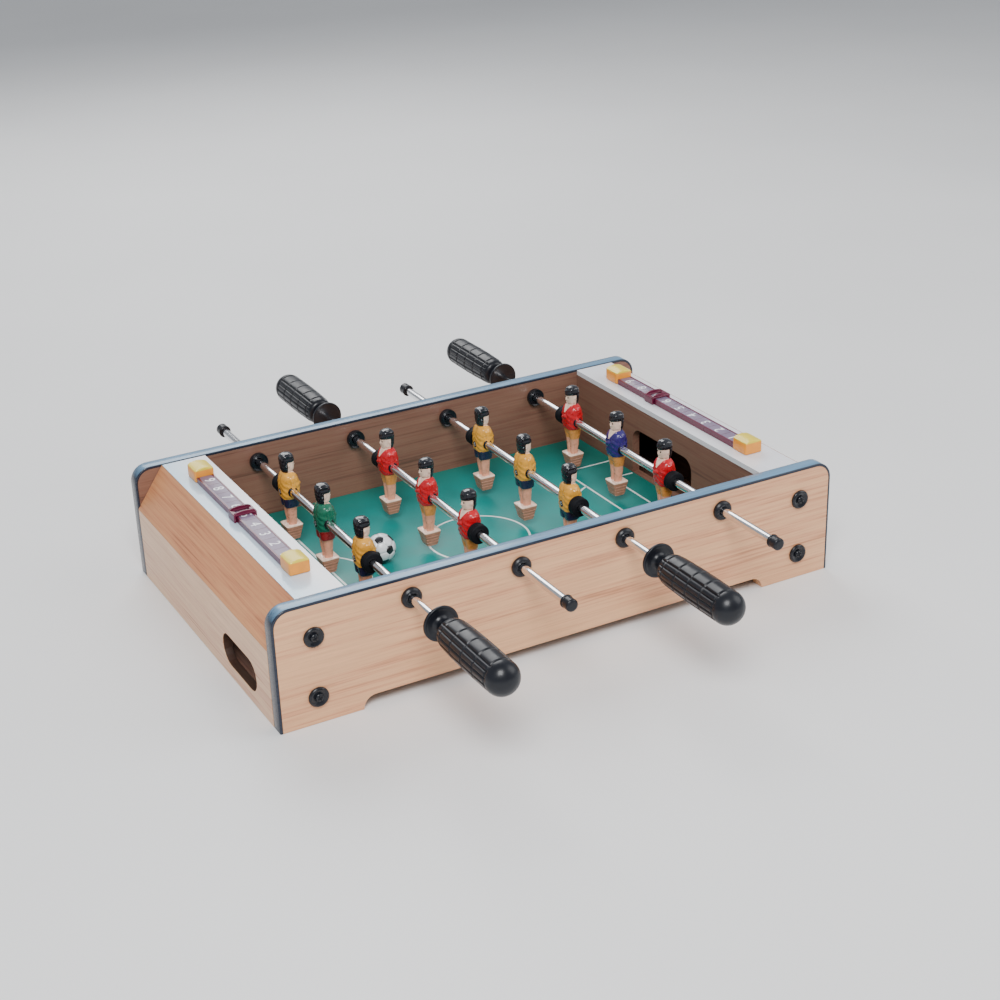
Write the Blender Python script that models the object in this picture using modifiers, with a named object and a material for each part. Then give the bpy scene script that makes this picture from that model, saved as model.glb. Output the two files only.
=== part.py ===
"""Tabletop foosball table: a laminated board case with four sliding, spinning rods of three figures,
two sliding goal counters and a ball. X runs along the case, Y across it, Z up; the case stands on Z = 0."""
import bpy
import bmesh
from math import cos, pi, sin, sqrt
from mathutils import Vector

MM = 0.001
TOUCH_GAP = 0.3 * MM            # gap between pieces that touch
OBJECT_NAME = "tabletop_foosball"

# Case
CASE_LENGTH = 342.0 * MM
CASE_WIDTH = 214.0 * MM
CASE_HEIGHT = 68.0 * MM
SIDE_THICKNESS = 8.5 * MM
CORNER_RADIUS = 10.0 * MM
BAND_THICKNESS = 1.2 * MM       # black edging round each side panel
CUTOUT_HEIGHT = 7.0 * MM        # between the feet of a side panel
FOOT_LENGTH = 46.0 * MM

# Ends
PLAYING_LENGTH = 255.2 * MM
GOAL_WALL_THICKNESS = 5.0 * MM
GOAL_WALL_BASE = 8.0 * MM
END_THICKNESS = 5.0 * MM
COVER_THICKNESS = 3.0 * MM
LEDGE_DROP = 0.4 * MM           # ledge below the top of the side panels
SLOPE_RUN = 17.1 * MM           # how far the ridge of the cover stands in from the end
END_PANEL_TOP = 43.4 * MM
GOAL_WIDTH = 64.0 * MM
GOAL_HEIGHT = 30.0 * MM
GOAL_CORNER = 8.0 * MM
RETURN_OFFSET = 55.0 * MM       # ball return, off the centre line
RETURN_LENGTH = 48.0 * MM
RETURN_HEIGHT = 18.4 * MM
RETURN_CENTRE_HEIGHT = 16.4 * MM
TRAY_TOP = 7.0 * MM
TRAY_THICKNESS = 3.0 * MM
CORNER_BLOCK_SIZE = 12.0 * MM
CORNER_BLOCK_DROP = 7.6 * MM    # below the top of the ledge
CORNER_BLOCK_SETBACK = 4.6 * MM # middle of a block in from the ridge

# Pitch
PITCH_HEIGHT = 20.4 * MM
PITCH_THICKNESS = 3.0 * MM

# Rods
ROD_SPACING = 63.6 * MM
ROD_COUNT = 4
ROD_HEIGHT = 56.3 * MM
ROD_RADIUS = 2.4 * MM
ROD_TRAVEL = 29.0 * MM          # each way from the middle
TURNED_STEPS = 16

# Bushings
BUSH_BARREL_RADIUS = 3.9 * MM
BUSH_OUTER_RADIUS = 5.7 * MM
BUSH_INNER_RADIUS = 5.5 * MM
BUSH_OUTER_DEPTH = 2.65 * MM
BUSH_INNER_DEPTH = 2.0 * MM

# Rubber bumpers on a rod
BUMPER_RADIUS = 5.6 * MM
BUMPER_LENGTH = 5.3 * MM

# Handle and end cap
HANDLE_FLANGE_RADIUS = 9.6 * MM
HANDLE_FLANGE_THICKNESS = 2.2 * MM
HANDLE_NECK_RADIUS = 3.3 * MM
HANDLE_NECK_LENGTH = 6.0 * MM
GRIP_RADIUS = 9.35 * MM
GRIP_LENGTH = 62.0 * MM
GRIP_WALL = 9.0 * MM            # solid end beyond the rod
CAP_START = 152.5 * MM
CAP_LENGTH = 7.0 * MM
CAP_RADIUS = 3.7 * MM
CAP_WALL = 2.0 * MM

# Figures: half sizes across the rod (X) and along it (Y), by height from the rod's axis
FIGURE_SPACING = 51.0 * MM
FOOT_BOTTOM = -31.0
FIGURE_SECTIONS = (
    (FOOT_BOTTOM, 3.4, 4.1), (-22.0, 5.3, 5.5), (-21.8, 2.9, 3.7), (-10.3, 3.3, 4.2),
    (-10.1, 4.5, 5.3), (-4.6, 5.2, 6.1), (-4.4, 5.6, 6.5), (2.0, 6.2, 6.9), (8.0, 5.3, 6.9),
    (11.2, 4.0, 6.1), (12.2, 2.5, 2.9), (13.2, 2.4, 2.7), (15.0, 3.6, 3.3), (18.3, 4.3, 3.9),
    (20.9, 3.8, 3.5), (22.4, 1.9, 1.8))
FIGURE_POINTS = 12
FIGURE_SQUARENESS = 0.62        # 1 is an ellipse, 0 a rectangle
FIGURE_HALF_WIDTH = 6.9 * MM

# Goal counters
COUNTER_HALF_LENGTH = 75.0 * MM
COUNTER_BLOCK = (11.5 * MM, 13.0 * MM, 8.3 * MM)
RAIL_WIDTH = 10.0 * MM
RAIL_HEIGHT = 3.0 * MM
SLIDER_LENGTH = 9.0 * MM
SLIDER_WALL = 1.3 * MM
SLIDER_CROWN = 2.6 * MM         # height of the slider above the rail
SLIDER_CLEARANCE = 0.35 * MM
SLIDER_WINDOW = (7.0 * MM, 5.0 * MM)
SLIDER_PLACES = (4.0 * MM, 24.5 * MM)   # left and right, along the rail

# Ball
BALL_RADIUS = 8.5 * MM
BALL_ACROSS = 2.3 * MM

# Sizes that follow from the ones above
HALF_LENGTH = CASE_LENGTH / 2
HALF_WIDTH = CASE_WIDTH / 2
PANEL_MIDDLE = HALF_WIDTH - SIDE_THICKNESS / 2
INSIDE_HALF_WIDTH = HALF_WIDTH - SIDE_THICKNESS
FIT_HALF_WIDTH = INSIDE_HALF_WIDTH - TOUCH_GAP
PLAYING_HALF_LENGTH = PLAYING_LENGTH / 2
LEDGE_TOP = CASE_HEIGHT - LEDGE_DROP
LEDGE_OUTER = HALF_LENGTH - SLOPE_RUN
CORNER_BLOCK_TOP = LEDGE_TOP - CORNER_BLOCK_DROP
CORNER_BLOCK_X = LEDGE_OUTER - CORNER_BLOCK_SETBACK
GOAL_WALL_OUTER = PLAYING_HALF_LENGTH + GOAL_WALL_THICKNESS
END_PANEL_INNER = HALF_LENGTH - END_THICKNESS
COUNTER_X = (PLAYING_HALF_LENGTH + LEDGE_OUTER) / 2
COUNTER_BASE = LEDGE_TOP + TOUCH_GAP
BORE_RADIUS = ROD_RADIUS + TOUCH_GAP
BUSH_HOLE_RADIUS = BUSH_BARREL_RADIUS + TOUCH_GAP
BUMPER_START = FIGURE_SPACING + FIGURE_HALF_WIDTH + TOUCH_GAP
BUMPER_END = BUMPER_START + BUMPER_LENGTH
HANDLE_START = HALF_WIDTH + TOUCH_GAP + BUSH_OUTER_DEPTH + ROD_TRAVEL + TOUCH_GAP
GRIP_START = HANDLE_START + HANDLE_FLANGE_THICKNESS + HANDLE_NECK_LENGTH
HANDLE_END = GRIP_START + GRIP_LENGTH
ROD_REACH_HANDLE = HANDLE_END - GRIP_WALL - TOUCH_GAP
ROD_REACH_CAP = CAP_START + CAP_LENGTH - CAP_WALL - TOUCH_GAP
FIGURE_REACH = sqrt(FIGURE_SECTIONS[0][0] ** 2 + FIGURE_SECTIONS[0][1] ** 2) * MM

ROD_NAMES = ("left_goal_rod", "left_attack_rod", "right_attack_rod", "right_goal_rod")
LAMINATE = ((0.62, 0.40, 0.24), 0.45, 0.0)
DARK_BOARD = ((0.20, 0.11, 0.07), 0.6, 0.0)
PALE_LAMINATE = ((0.72, 0.78, 0.84), 0.25, 0.0)
GREEN = ((0.01, 0.25, 0.20), 0.5, 0.0)
STEEL = ((0.80, 0.80, 0.82), 0.15, 1.0)
BLACK = ((0.012, 0.013, 0.016), 0.35, 0.0)
YELLOW = ((0.85, 0.50, 0.07), 0.35, 0.0)
MAROON = ((0.16, 0.02, 0.06), 0.35, 0.0)
WHITE = ((0.85, 0.85, 0.85), 0.3, 0.0)
YELLOW_SHIRT = ((0.80, 0.47, 0.06), 0.3, 0.0)
RED_SHIRT = ((0.70, 0.01, 0.02), 0.3, 0.0)
GREEN_SHIRT = ((0.01, 0.22, 0.10), 0.3, 0.0)
BLUE_SHIRT = ((0.03, 0.02, 0.22), 0.3, 0.0)


def clear_scene():
    """Empty the file of objects and collections."""
    for item in list(bpy.data.objects):
        bpy.data.objects.remove(item, do_unlink=True)
    for group in list(bpy.data.collections):
        bpy.data.collections.remove(group)


def make_collection(name):
    """Add a collection to the scene."""
    group = bpy.data.collections.new(name)
    bpy.context.scene.collection.children.link(group)
    return group


def make_material(name, finish):
    """One Principled material from (colour, roughness, metallic)."""
    colour, roughness, metallic = finish
    material = bpy.data.materials.new(name)
    material.use_nodes = True
    shader = material.node_tree.nodes["Principled BSDF"]
    shader.inputs["Base Color"].default_value = (*colour, 1.0)
    shader.inputs["Roughness"].default_value = roughness
    shader.inputs["Metallic"].default_value = metallic
    return material


def add_object(group, name, mesh, finish, location=(0, 0, 0), rotation=(0, 0, 0), parent=None):
    """Put a mesh in the scene as a named sub-part."""
    item = bpy.data.objects.new(name, mesh)
    group.objects.link(item)
    item.location = location
    item.rotation_euler = rotation
    item.parent = parent
    if not mesh.materials:
        mesh.materials.append(make_material(name, finish))
    return item


def box_mesh(name, size):
    """A box of the given size about its own centre."""
    builder = bmesh.new()
    bmesh.ops.create_cube(builder, size=1.0)
    bmesh.ops.scale(builder, vec=Vector(size), verts=builder.verts)
    mesh = bpy.data.meshes.new(name)
    builder.to_mesh(mesh)
    builder.free()
    return mesh


def add_box(group, name, low, high, finish):
    """A box between two opposite corners."""
    size = [b - a for a, b in zip(low, high)]
    centre = [(a + b) / 2 for a, b in zip(low, high)]
    return add_object(group, name, box_mesh(name, size), finish, centre)


def arc(centre_x, centre_y, radius, start, end, steps=6):
    """Points along an arc, angles in quarter turns."""
    angles = [(start + (end - start) * k / steps) * pi / 2 for k in range(steps + 1)]
    return [(centre_x + radius * cos(a), centre_y + radius * sin(a)) for a in angles]


def plate_mesh(name, loops, thickness):
    """A flat outline with holes, drawn as a 2D curve, extruded and made a mesh."""
    curve = bpy.data.curves.new(name, "CURVE")
    curve.dimensions = "2D"
    curve.fill_mode = "BOTH"
    curve.extrude = thickness / 2
    for loop in loops:
        spline = curve.splines.new("POLY")
        spline.points.add(len(loop) - 1)
        for point, place in zip(spline.points, loop):
            point.co = (place[0], place[1], 0.0, 1.0)
        spline.use_cyclic_u = True
    drawing = bpy.data.objects.new(name + "_outline", curve)
    bpy.context.scene.collection.objects.link(drawing)
    depsgraph = bpy.context.evaluated_depsgraph_get()
    mesh = bpy.data.meshes.new_from_object(drawing.evaluated_get(depsgraph))
    bpy.data.objects.remove(drawing, do_unlink=True)
    builder = bmesh.new()
    builder.from_mesh(mesh)
    bmesh.ops.remove_doubles(builder, verts=builder.verts, dist=0.00002)
    bmesh.ops.recalc_face_normals(builder, faces=builder.faces)
    builder.to_mesh(mesh)
    builder.free()
    return mesh


LENGTHWISE = (pi / 2, 0, 0)      # an outline drawn in X and Z
CROSSWISE = (pi / 2, 0, pi / 2)  # an outline drawn in Y and Z


def add_turned(group, name, profile, finish, location=(0, 0, 0), turn=0.0, parent=None, closed=False):
    """A piece turned about Y: the profile lists (radius, place along Y), down its outer side."""
    builder = bmesh.new()
    points = [builder.verts.new((radius, 0.0, along)) for radius, along in profile]
    for first, second in zip(points, points[1:]):
        builder.edges.new((first, second))
    if closed:
        builder.edges.new((points[-1], points[0]))
    mesh = bpy.data.meshes.new(name)
    builder.to_mesh(mesh)
    builder.free()
    item = add_object(group, name, mesh, finish, location, (-pi / 2, 0, turn), parent)
    screw = item.modifiers.new("turn", "SCREW")
    screw.steps = TURNED_STEPS
    screw.render_steps = TURNED_STEPS
    screw.use_merge_vertices = True
    screw.merge_threshold = 0.00005
    screw.use_smooth_shade = True
    return item


def rounded_top(half, height, radius):
    """The path over a side panel from its left foot to its right foot."""
    left = arc(-half + radius, height - radius, radius, 2, 1)
    right = arc(half - radius, height - radius, radius, 1, 0)
    return [(-half, 0.0)] + left + right + [(half, 0.0)]


def add_side_panels(group):
    """Two side panels with feet and rod holes, each with its edging."""
    inset = BAND_THICKNESS + TOUCH_GAP
    outline = rounded_top(HALF_LENGTH - inset, CASE_HEIGHT - inset, CORNER_RADIUS - inset)
    cut_end = HALF_LENGTH - FOOT_LENGTH
    outline += arc(cut_end - CUTOUT_HEIGHT, 0.0, CUTOUT_HEIGHT, 0, 1)
    outline += arc(-cut_end + CUTOUT_HEIGHT, 0.0, CUTOUT_HEIGHT, 1, 2)
    holes = [arc(x, ROD_HEIGHT, BUSH_HOLE_RADIUS, 0, 3.75, 15) for x in rod_places()]
    outer = rounded_top(HALF_LENGTH, CASE_HEIGHT, CORNER_RADIUS)
    inner = rounded_top(HALF_LENGTH - BAND_THICKNESS, CASE_HEIGHT - BAND_THICKNESS,
                        CORNER_RADIUS - BAND_THICKNESS)
    panel = plate_mesh("side_panel", [outline] + holes, SIDE_THICKNESS)
    band = plate_mesh("edge_band", [outer + inner[::-1]], SIDE_THICKNESS)
    for side, sign in (("front", -1), ("back", 1)):
        place = (0, sign * PANEL_MIDDLE, 0)
        add_object(group, side + "_side_panel", panel, LAMINATE, place, LENGTHWISE)
        add_object(group, side + "_edge_band", band, BLACK, place, LENGTHWISE)


def rod_places():
    """X of each rod, left to right."""
    return [(k - (ROD_COUNT - 1) / 2) * ROD_SPACING for k in range(ROD_COUNT)]


def add_pitch(group):
    """The green board between the goal walls."""
    reach = PLAYING_HALF_LENGTH - TOUCH_GAP
    low = (-reach, -FIT_HALF_WIDTH, PITCH_HEIGHT - PITCH_THICKNESS)
    add_box(group, "pitch_board", low, (reach, FIT_HALF_WIDTH, PITCH_HEIGHT), GREEN)


def goal_wall_mesh():
    """The wall at the end of the pitch with its goal mouth."""
    top = LEDGE_TOP - COVER_THICKNESS - TOUCH_GAP
    half = FIT_HALF_WIDTH
    outline = [(-half, GOAL_WALL_BASE), (half, GOAL_WALL_BASE), (half, top), (-half, top)]
    reach = GOAL_WIDTH / 2 - GOAL_CORNER
    crown = PITCH_HEIGHT + GOAL_HEIGHT - GOAL_CORNER
    mouth = [(-GOAL_WIDTH / 2, PITCH_HEIGHT), (GOAL_WIDTH / 2, PITCH_HEIGHT)]
    mouth += arc(reach, crown, GOAL_CORNER, 0, 1)
    mouth += arc(-reach, crown, GOAL_CORNER, 1, 2)
    return plate_mesh("goal_wall", [outline, mouth], GOAL_WALL_THICKNESS)


def end_panel_mesh():
    """The upright end with the slot that the ball comes back through."""
    half = FIT_HALF_WIDTH
    outline = [(-half, 0.0), (half, 0.0), (half, END_PANEL_TOP), (-half, END_PANEL_TOP)]
    radius = RETURN_HEIGHT / 2
    reach = RETURN_LENGTH / 2 - radius
    slot = arc(-RETURN_OFFSET + reach, RETURN_CENTRE_HEIGHT, radius, -1, 1, 8)
    slot += arc(-RETURN_OFFSET - reach, RETURN_CENTRE_HEIGHT, radius, 1, 3, 8)
    return plate_mesh("end_panel", [outline, slot], END_THICKNESS)


def slope_mesh():
    """The sloping cover between the ledge and the end panel, mitred level and upright."""
    start = LEDGE_OUTER + TOUCH_GAP
    base = END_PANEL_TOP + TOUCH_GAP
    run = HALF_LENGTH - start
    rise = LEDGE_TOP - base
    slant = sqrt(run * run + rise * rise)
    outline = [(start, LEDGE_TOP), (start, LEDGE_TOP - COVER_THICKNESS * slant / run),
               (HALF_LENGTH - COVER_THICKNESS * slant / rise, base), (HALF_LENGTH, base)]
    return plate_mesh("sloping_cover", [outline], 2 * FIT_HALF_WIDTH)


def add_ends(group):
    """Goal wall, end panel, ledge, sloping cover, ball tray and corner blocks at each end."""
    wall = goal_wall_mesh()
    panel = end_panel_mesh()
    slope = slope_mesh()
    ledge_size = (LEDGE_OUTER - PLAYING_HALF_LENGTH, 2 * FIT_HALF_WIDTH, COVER_THICKNESS)
    ledge = box_mesh("ledge", ledge_size)
    tray_low = GOAL_WALL_OUTER + TOUCH_GAP
    tray_high = END_PANEL_INNER - TOUCH_GAP
    tray = box_mesh("ball_tray", (tray_high - tray_low, 2 * FIT_HALF_WIDTH, TRAY_THICKNESS))
    block_base = TRAY_TOP + TOUCH_GAP
    block_height = CORNER_BLOCK_TOP - block_base
    block = box_mesh("corner_block", (CORNER_BLOCK_SIZE, CORNER_BLOCK_SIZE, block_height))
    tray_x = (tray_low + tray_high) / 2
    for side, sign, turn in (("left", -1, pi), ("right", 1, 0.0)):
        middle = sign * (PLAYING_HALF_LENGTH + GOAL_WALL_THICKNESS / 2)
        add_object(group, side + "_goal_wall", wall, DARK_BOARD, (middle, 0, 0), CROSSWISE)
        end_x = sign * (HALF_LENGTH - END_THICKNESS / 2)
        add_object(group, side + "_end_panel", panel, LAMINATE, (end_x, 0, 0), CROSSWISE)
        add_object(group, side + "_sloping_cover", slope, LAMINATE, (0, 0, 0), (pi / 2, 0, turn))
        ledge_x = sign * COUNTER_X
        ledge_z = LEDGE_TOP - COVER_THICKNESS / 2
        add_object(group, side + "_ledge", ledge, PALE_LAMINATE, (ledge_x, 0, ledge_z))
        tray_z = TRAY_TOP - TRAY_THICKNESS / 2
        add_object(group, side + "_ball_tray", tray, DARK_BOARD, (sign * tray_x, 0, tray_z))
        for face, across in (("front", -1), ("back", 1)):
            block_y = across * (FIT_HALF_WIDTH - CORNER_BLOCK_SIZE / 2)
            place = (sign * CORNER_BLOCK_X, block_y, block_base + block_height / 2)
            add_object(group, side + "_" + face + "_corner_block", block, DARK_BOARD, place)


def add_bushings(group):
    """A flanged bushing in each of the eight rod holes."""
    inner_face = SIDE_THICKNESS / 2 + TOUCH_GAP
    inner_end = inner_face + BUSH_INNER_DEPTH
    outer_end = inner_face + BUSH_OUTER_DEPTH
    profile = [(BORE_RADIUS, inner_end), (BUSH_INNER_RADIUS - 1.0 * MM, inner_end),
               (BUSH_INNER_RADIUS, inner_end - 1.0 * MM), (BUSH_INNER_RADIUS, inner_face),
               (BUSH_BARREL_RADIUS, inner_face), (BUSH_BARREL_RADIUS, -inner_face),
               (BUSH_OUTER_RADIUS, -inner_face), (BUSH_OUTER_RADIUS, -inner_face - 1.0 * MM),
               (BUSH_OUTER_RADIUS - 1.5 * MM, -outer_end), (BORE_RADIUS, -outer_end)]
    for rod, x in zip(ROD_NAMES, rod_places()):
        for side, sign, turn in (("front", -1, 0.0), ("back", 1, pi)):
            place = (x, sign * PANEL_MIDDLE, ROD_HEIGHT)
            add_turned(group, rod + "_" + side + "_bushing", profile, BLACK, place, turn, closed=True)


def figure_mesh(cutters):
    """One figure lofted through its sections, bored for the rod."""
    rings = []
    builder = bmesh.new()
    for height, half_x, half_y in FIGURE_SECTIONS:
        ring = []
        for k in range(FIGURE_POINTS):
            angle = 2 * pi * (k + 0.5) / FIGURE_POINTS
            across = cos(angle)
            along = sin(angle)
            x = half_x * abs(across) ** FIGURE_SQUARENESS * (1 if across > 0 else -1)
            y = half_y * abs(along) ** FIGURE_SQUARENESS * (1 if along > 0 else -1)
            ring.append(builder.verts.new((x * MM, y * MM, height * MM)))
        rings.append(ring)
    for lower, upper in zip(rings, rings[1:]):
        for k in range(FIGURE_POINTS):
            after = (k + 1) % FIGURE_POINTS
            builder.faces.new((lower[k], lower[after], upper[after], upper[k]))
    builder.faces.new(rings[0][::-1])
    builder.faces.new(rings[-1])
    solid = bpy.data.meshes.new("figure_solid")
    builder.to_mesh(solid)
    builder.free()
    body = bpy.data.objects.new("figure_solid", solid)
    cutters.objects.link(body)
    bpy.ops.mesh.primitive_cylinder_add(vertices=TURNED_STEPS, radius=BORE_RADIUS,
                                        depth=4 * FIGURE_HALF_WIDTH, rotation=(pi / 2, 0, 0))
    drill = bpy.context.object
    cut = body.modifiers.new("bore", "BOOLEAN")
    cut.operation = "DIFFERENCE"
    cut.object = drill
    depsgraph = bpy.context.evaluated_depsgraph_get()
    mesh = bpy.data.meshes.new_from_object(body.evaluated_get(depsgraph))
    mesh.materials.clear()
    bpy.data.objects.remove(body, do_unlink=True)
    bpy.data.objects.remove(drill, do_unlink=True)
    return mesh


def rod_profile():
    """The steel rod with its two bumpers, from the end cap down to the handle."""
    return [(0.0, ROD_REACH_CAP), (ROD_RADIUS, ROD_REACH_CAP), (ROD_RADIUS, BUMPER_END),
            (BUMPER_RADIUS, BUMPER_END), (BUMPER_RADIUS, BUMPER_START), (ROD_RADIUS, BUMPER_START),
            (ROD_RADIUS, -BUMPER_START), (BUMPER_RADIUS, -BUMPER_START),
            (BUMPER_RADIUS, -BUMPER_END), (ROD_RADIUS, -BUMPER_END),
            (ROD_RADIUS, -ROD_REACH_HANDLE), (0.0, -ROD_REACH_HANDLE)]


def handle_profile():
    """Flange, neck and barrel grip with a blind bore; down the bore's side first."""
    flange_end = HANDLE_START + HANDLE_FLANGE_THICKNESS
    bore_end = HANDLE_END - GRIP_WALL
    points = [(0.0, -bore_end), (BORE_RADIUS, -bore_end), (BORE_RADIUS, -HANDLE_START),
              (HANDLE_FLANGE_RADIUS, -HANDLE_START), (HANDLE_FLANGE_RADIUS, -flange_end),
              (HANDLE_NECK_RADIUS, -flange_end - 0.8 * MM), (HANDLE_NECK_RADIUS, -GRIP_START)]
    points += [(0.78 * GRIP_RADIUS, -GRIP_START - 1.0 * MM), (0.92 * GRIP_RADIUS, -GRIP_START - 4.0 * MM),
               (GRIP_RADIUS, -GRIP_START - GRIP_LENGTH * 0.5)]
    dome = HANDLE_END - GRIP_RADIUS
    points += [(GRIP_RADIUS * cos(k * pi / 8), -dome - GRIP_RADIUS * sin(k * pi / 8)) for k in range(4)]
    return points + [(0.0, -HANDLE_END)]


def cap_profile():
    """The plastic cap on the far end of a rod."""
    end = CAP_START + CAP_LENGTH
    return [(0.0, end), (CAP_RADIUS - 1.0 * MM, end), (CAP_RADIUS, end - 1.0 * MM),
            (CAP_RADIUS, CAP_START), (BORE_RADIUS, CAP_START),
            (BORE_RADIUS, end - CAP_WALL), (0.0, end - CAP_WALL)]


def add_rods(group, cutters):
    """Four rods; the two teams face each other and reach out on opposite sides."""
    figure = figure_mesh(cutters)
    keeper_shirts = {"left_goal_rod": GREEN_SHIRT, "right_goal_rod": BLUE_SHIRT}
    for number, (rod, x) in enumerate(zip(ROD_NAMES, rod_places())):
        turn = pi * (number % 2)
        pivot = bpy.data.objects.new(rod + "_axis", None)
        group.objects.link(pivot)
        pivot.location = (x, 0, ROD_HEIGHT)
        pivot.rotation_euler = (0, 0, turn)
        add_turned(group, rod, rod_profile(), STEEL, parent=pivot)
        add_turned(group, rod + "_handle", handle_profile(), BLACK, parent=pivot)
        add_turned(group, rod + "_end_cap", cap_profile(), BLACK, parent=pivot)
        team = RED_SHIRT if number % 2 else YELLOW_SHIRT
        for label, step in (("front", -1), ("middle", 0), ("back", 1)):
            shirt = keeper_shirts.get(rod, team) if step == 0 else team
            along = step * FIGURE_SPACING * (-1 if number % 2 else 1)
            add_object(group, rod + "_" + label + "_figure", figure.copy(), shirt, (0, along, 0),
                       parent=pivot)


def add_counters(group, cutters):
    """On each ledge two end blocks, a number rail and a slider with a window."""
    half_x, half_y, _ = [size / 2 for size in COUNTER_BLOCK]
    rail_end = COUNTER_HALF_LENGTH - COUNTER_BLOCK[1] - TOUCH_GAP
    slot_half = RAIL_WIDTH / 2 + SLIDER_CLEARANCE
    slider_half = slot_half + SLIDER_WALL
    slot_top = COUNTER_BASE + RAIL_HEIGHT + SLIDER_CLEARANCE
    slider_top = slot_top + SLIDER_CROWN
    outline = [(-slider_half, COUNTER_BASE), (-slot_half, COUNTER_BASE), (-slot_half, slot_top),
               (slot_half, slot_top), (slot_half, COUNTER_BASE), (slider_half, COUNTER_BASE),
               (slider_half, slider_top), (-slider_half, slider_top)]
    for side, sign, along in zip(("left", "right"), (-1, 1), SLIDER_PLACES):
        x = sign * COUNTER_X
        add_box(group, side + "_counter_rail", (x - RAIL_WIDTH / 2, -rail_end, COUNTER_BASE),
                (x + RAIL_WIDTH / 2, rail_end, COUNTER_BASE + RAIL_HEIGHT), MAROON)
        for face, across in (("front", -1), ("back", 1)):
            y = across * (COUNTER_HALF_LENGTH - half_y)
            block = add_box(group, side + "_" + face + "_counter_block",
                            (x - half_x, y - half_y, COUNTER_BASE),
                            (x + half_x, y + half_y, COUNTER_BASE + COUNTER_BLOCK[2]), YELLOW)
            edge = block.modifiers.new("edges", "BEVEL")
            edge.width = 0.6 * MM
            edge.segments = 1
        slider = add_object(group, side + "_counter_slider", plate_mesh(side + "_slider", [outline],
                            SLIDER_LENGTH), MAROON, (x, along, 0), LENGTHWISE)
        window = add_box(cutters, side + "_slider_window",
                         (x - SLIDER_WINDOW[0] / 2, along - SLIDER_WINDOW[1] / 2, slot_top - SLIDER_WALL),
                         (x + SLIDER_WINDOW[0] / 2, along + SLIDER_WINDOW[1] / 2, slider_top + SLIDER_WALL),
                         MAROON)
        window.hide_render = True
        window.display_type = "WIRE"
        cut = slider.modifiers.new("window", "BOOLEAN")
        cut.operation = "DIFFERENCE"
        cut.object = window


def add_ball(group):
    """The ball, on the pitch just clear of the second rod's swinging feet."""
    height = PITCH_HEIGHT + TOUCH_GAP + BALL_RADIUS
    drop = ROD_HEIGHT - height
    apart = sqrt((FIGURE_REACH + BALL_RADIUS + 2 * TOUCH_GAP) ** 2 - drop ** 2)
    builder = bmesh.new()
    bmesh.ops.create_uvsphere(builder, u_segments=16, v_segments=10, radius=BALL_RADIUS)
    mesh = bpy.data.meshes.new("ball")
    builder.to_mesh(mesh)
    builder.free()
    mesh.shade_smooth()
    place = (rod_places()[1] - apart, BALL_ACROSS, height)
    add_object(group, "ball", mesh, WHITE, place)


def main():
    """Build the whole table."""
    clear_scene()
    group = make_collection(OBJECT_NAME)
    cutters = make_collection("cutters")
    add_side_panels(group)
    add_pitch(group)
    add_ends(group)
    add_bushings(group)
    add_rods(group, cutters)
    add_counters(group, cutters)
    add_ball(group)


main()
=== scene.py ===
"""Looks of the tabletop foosball table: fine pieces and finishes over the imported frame."""
from math import cos, pi, radians, sin

import bmesh
import bpy
import numpy as np
from bpy.props import BoolProperty, FloatProperty, FloatVectorProperty, IntProperty, PointerProperty
from mathutils import Matrix, Vector


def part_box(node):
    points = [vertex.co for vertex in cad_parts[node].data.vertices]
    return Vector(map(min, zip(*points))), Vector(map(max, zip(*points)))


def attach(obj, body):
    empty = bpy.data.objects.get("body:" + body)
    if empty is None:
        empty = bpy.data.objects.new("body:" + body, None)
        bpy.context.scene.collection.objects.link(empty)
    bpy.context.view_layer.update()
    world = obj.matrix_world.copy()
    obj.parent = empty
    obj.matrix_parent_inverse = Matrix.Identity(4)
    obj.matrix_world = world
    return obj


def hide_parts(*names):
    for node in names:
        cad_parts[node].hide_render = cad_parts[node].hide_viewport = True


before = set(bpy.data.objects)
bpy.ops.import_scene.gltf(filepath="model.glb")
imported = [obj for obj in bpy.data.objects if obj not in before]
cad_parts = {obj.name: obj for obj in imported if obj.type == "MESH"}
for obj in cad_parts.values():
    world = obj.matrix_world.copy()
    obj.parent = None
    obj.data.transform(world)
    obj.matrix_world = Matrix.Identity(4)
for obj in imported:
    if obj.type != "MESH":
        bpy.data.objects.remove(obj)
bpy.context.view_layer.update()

bl_info = {
    "name": "Tabletop foosball",
    "version": (1, 0, 0),
    "blender": (4, 5, 0),
    "location": "3D View > Sidebar > Foosball",
    "description": "Finishes and fine pieces of a tabletop foosball table",
    "category": "Object",
}

MM = 0.001
RODS = ("left_goal_rod", "left_attack_rod", "right_attack_rod", "right_goal_rod")
SIDES = (("front", -1.0), ("back", 1.0))
ENDS = (("left", -1.0), ("right", 1.0))
NUMBER_COUNT = 9
ROD_RADIUS = 2.4 * MM
RING_BORE = 2.42 * MM    # bumper rings
SNUG_BORE = 2.45 * MM    # grips and end caps
BUSH_BORE = 2.62 * MM    # bushings, which the rods slide through


def node_box(name):
    """Lowest and highest corner of a CAD node as arrays."""
    low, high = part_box(name)
    return np.array(low), np.array(high)


def rod_axis(rod):
    """X and Z of a rod's axis, read from its end cap."""
    low, high = node_box(rod + "_end_cap")
    return (low[0] + high[0]) / 2, (low[2] + high[2]) / 2


def handle_side(rod):
    """-1 where the rod's handle is at the front, +1 at the back."""
    low, high = node_box(rod + "_handle")
    return -1.0 if low[1] + high[1] < 0 else 1.0


# ---------------------------------------------------------------- surfaces

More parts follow.
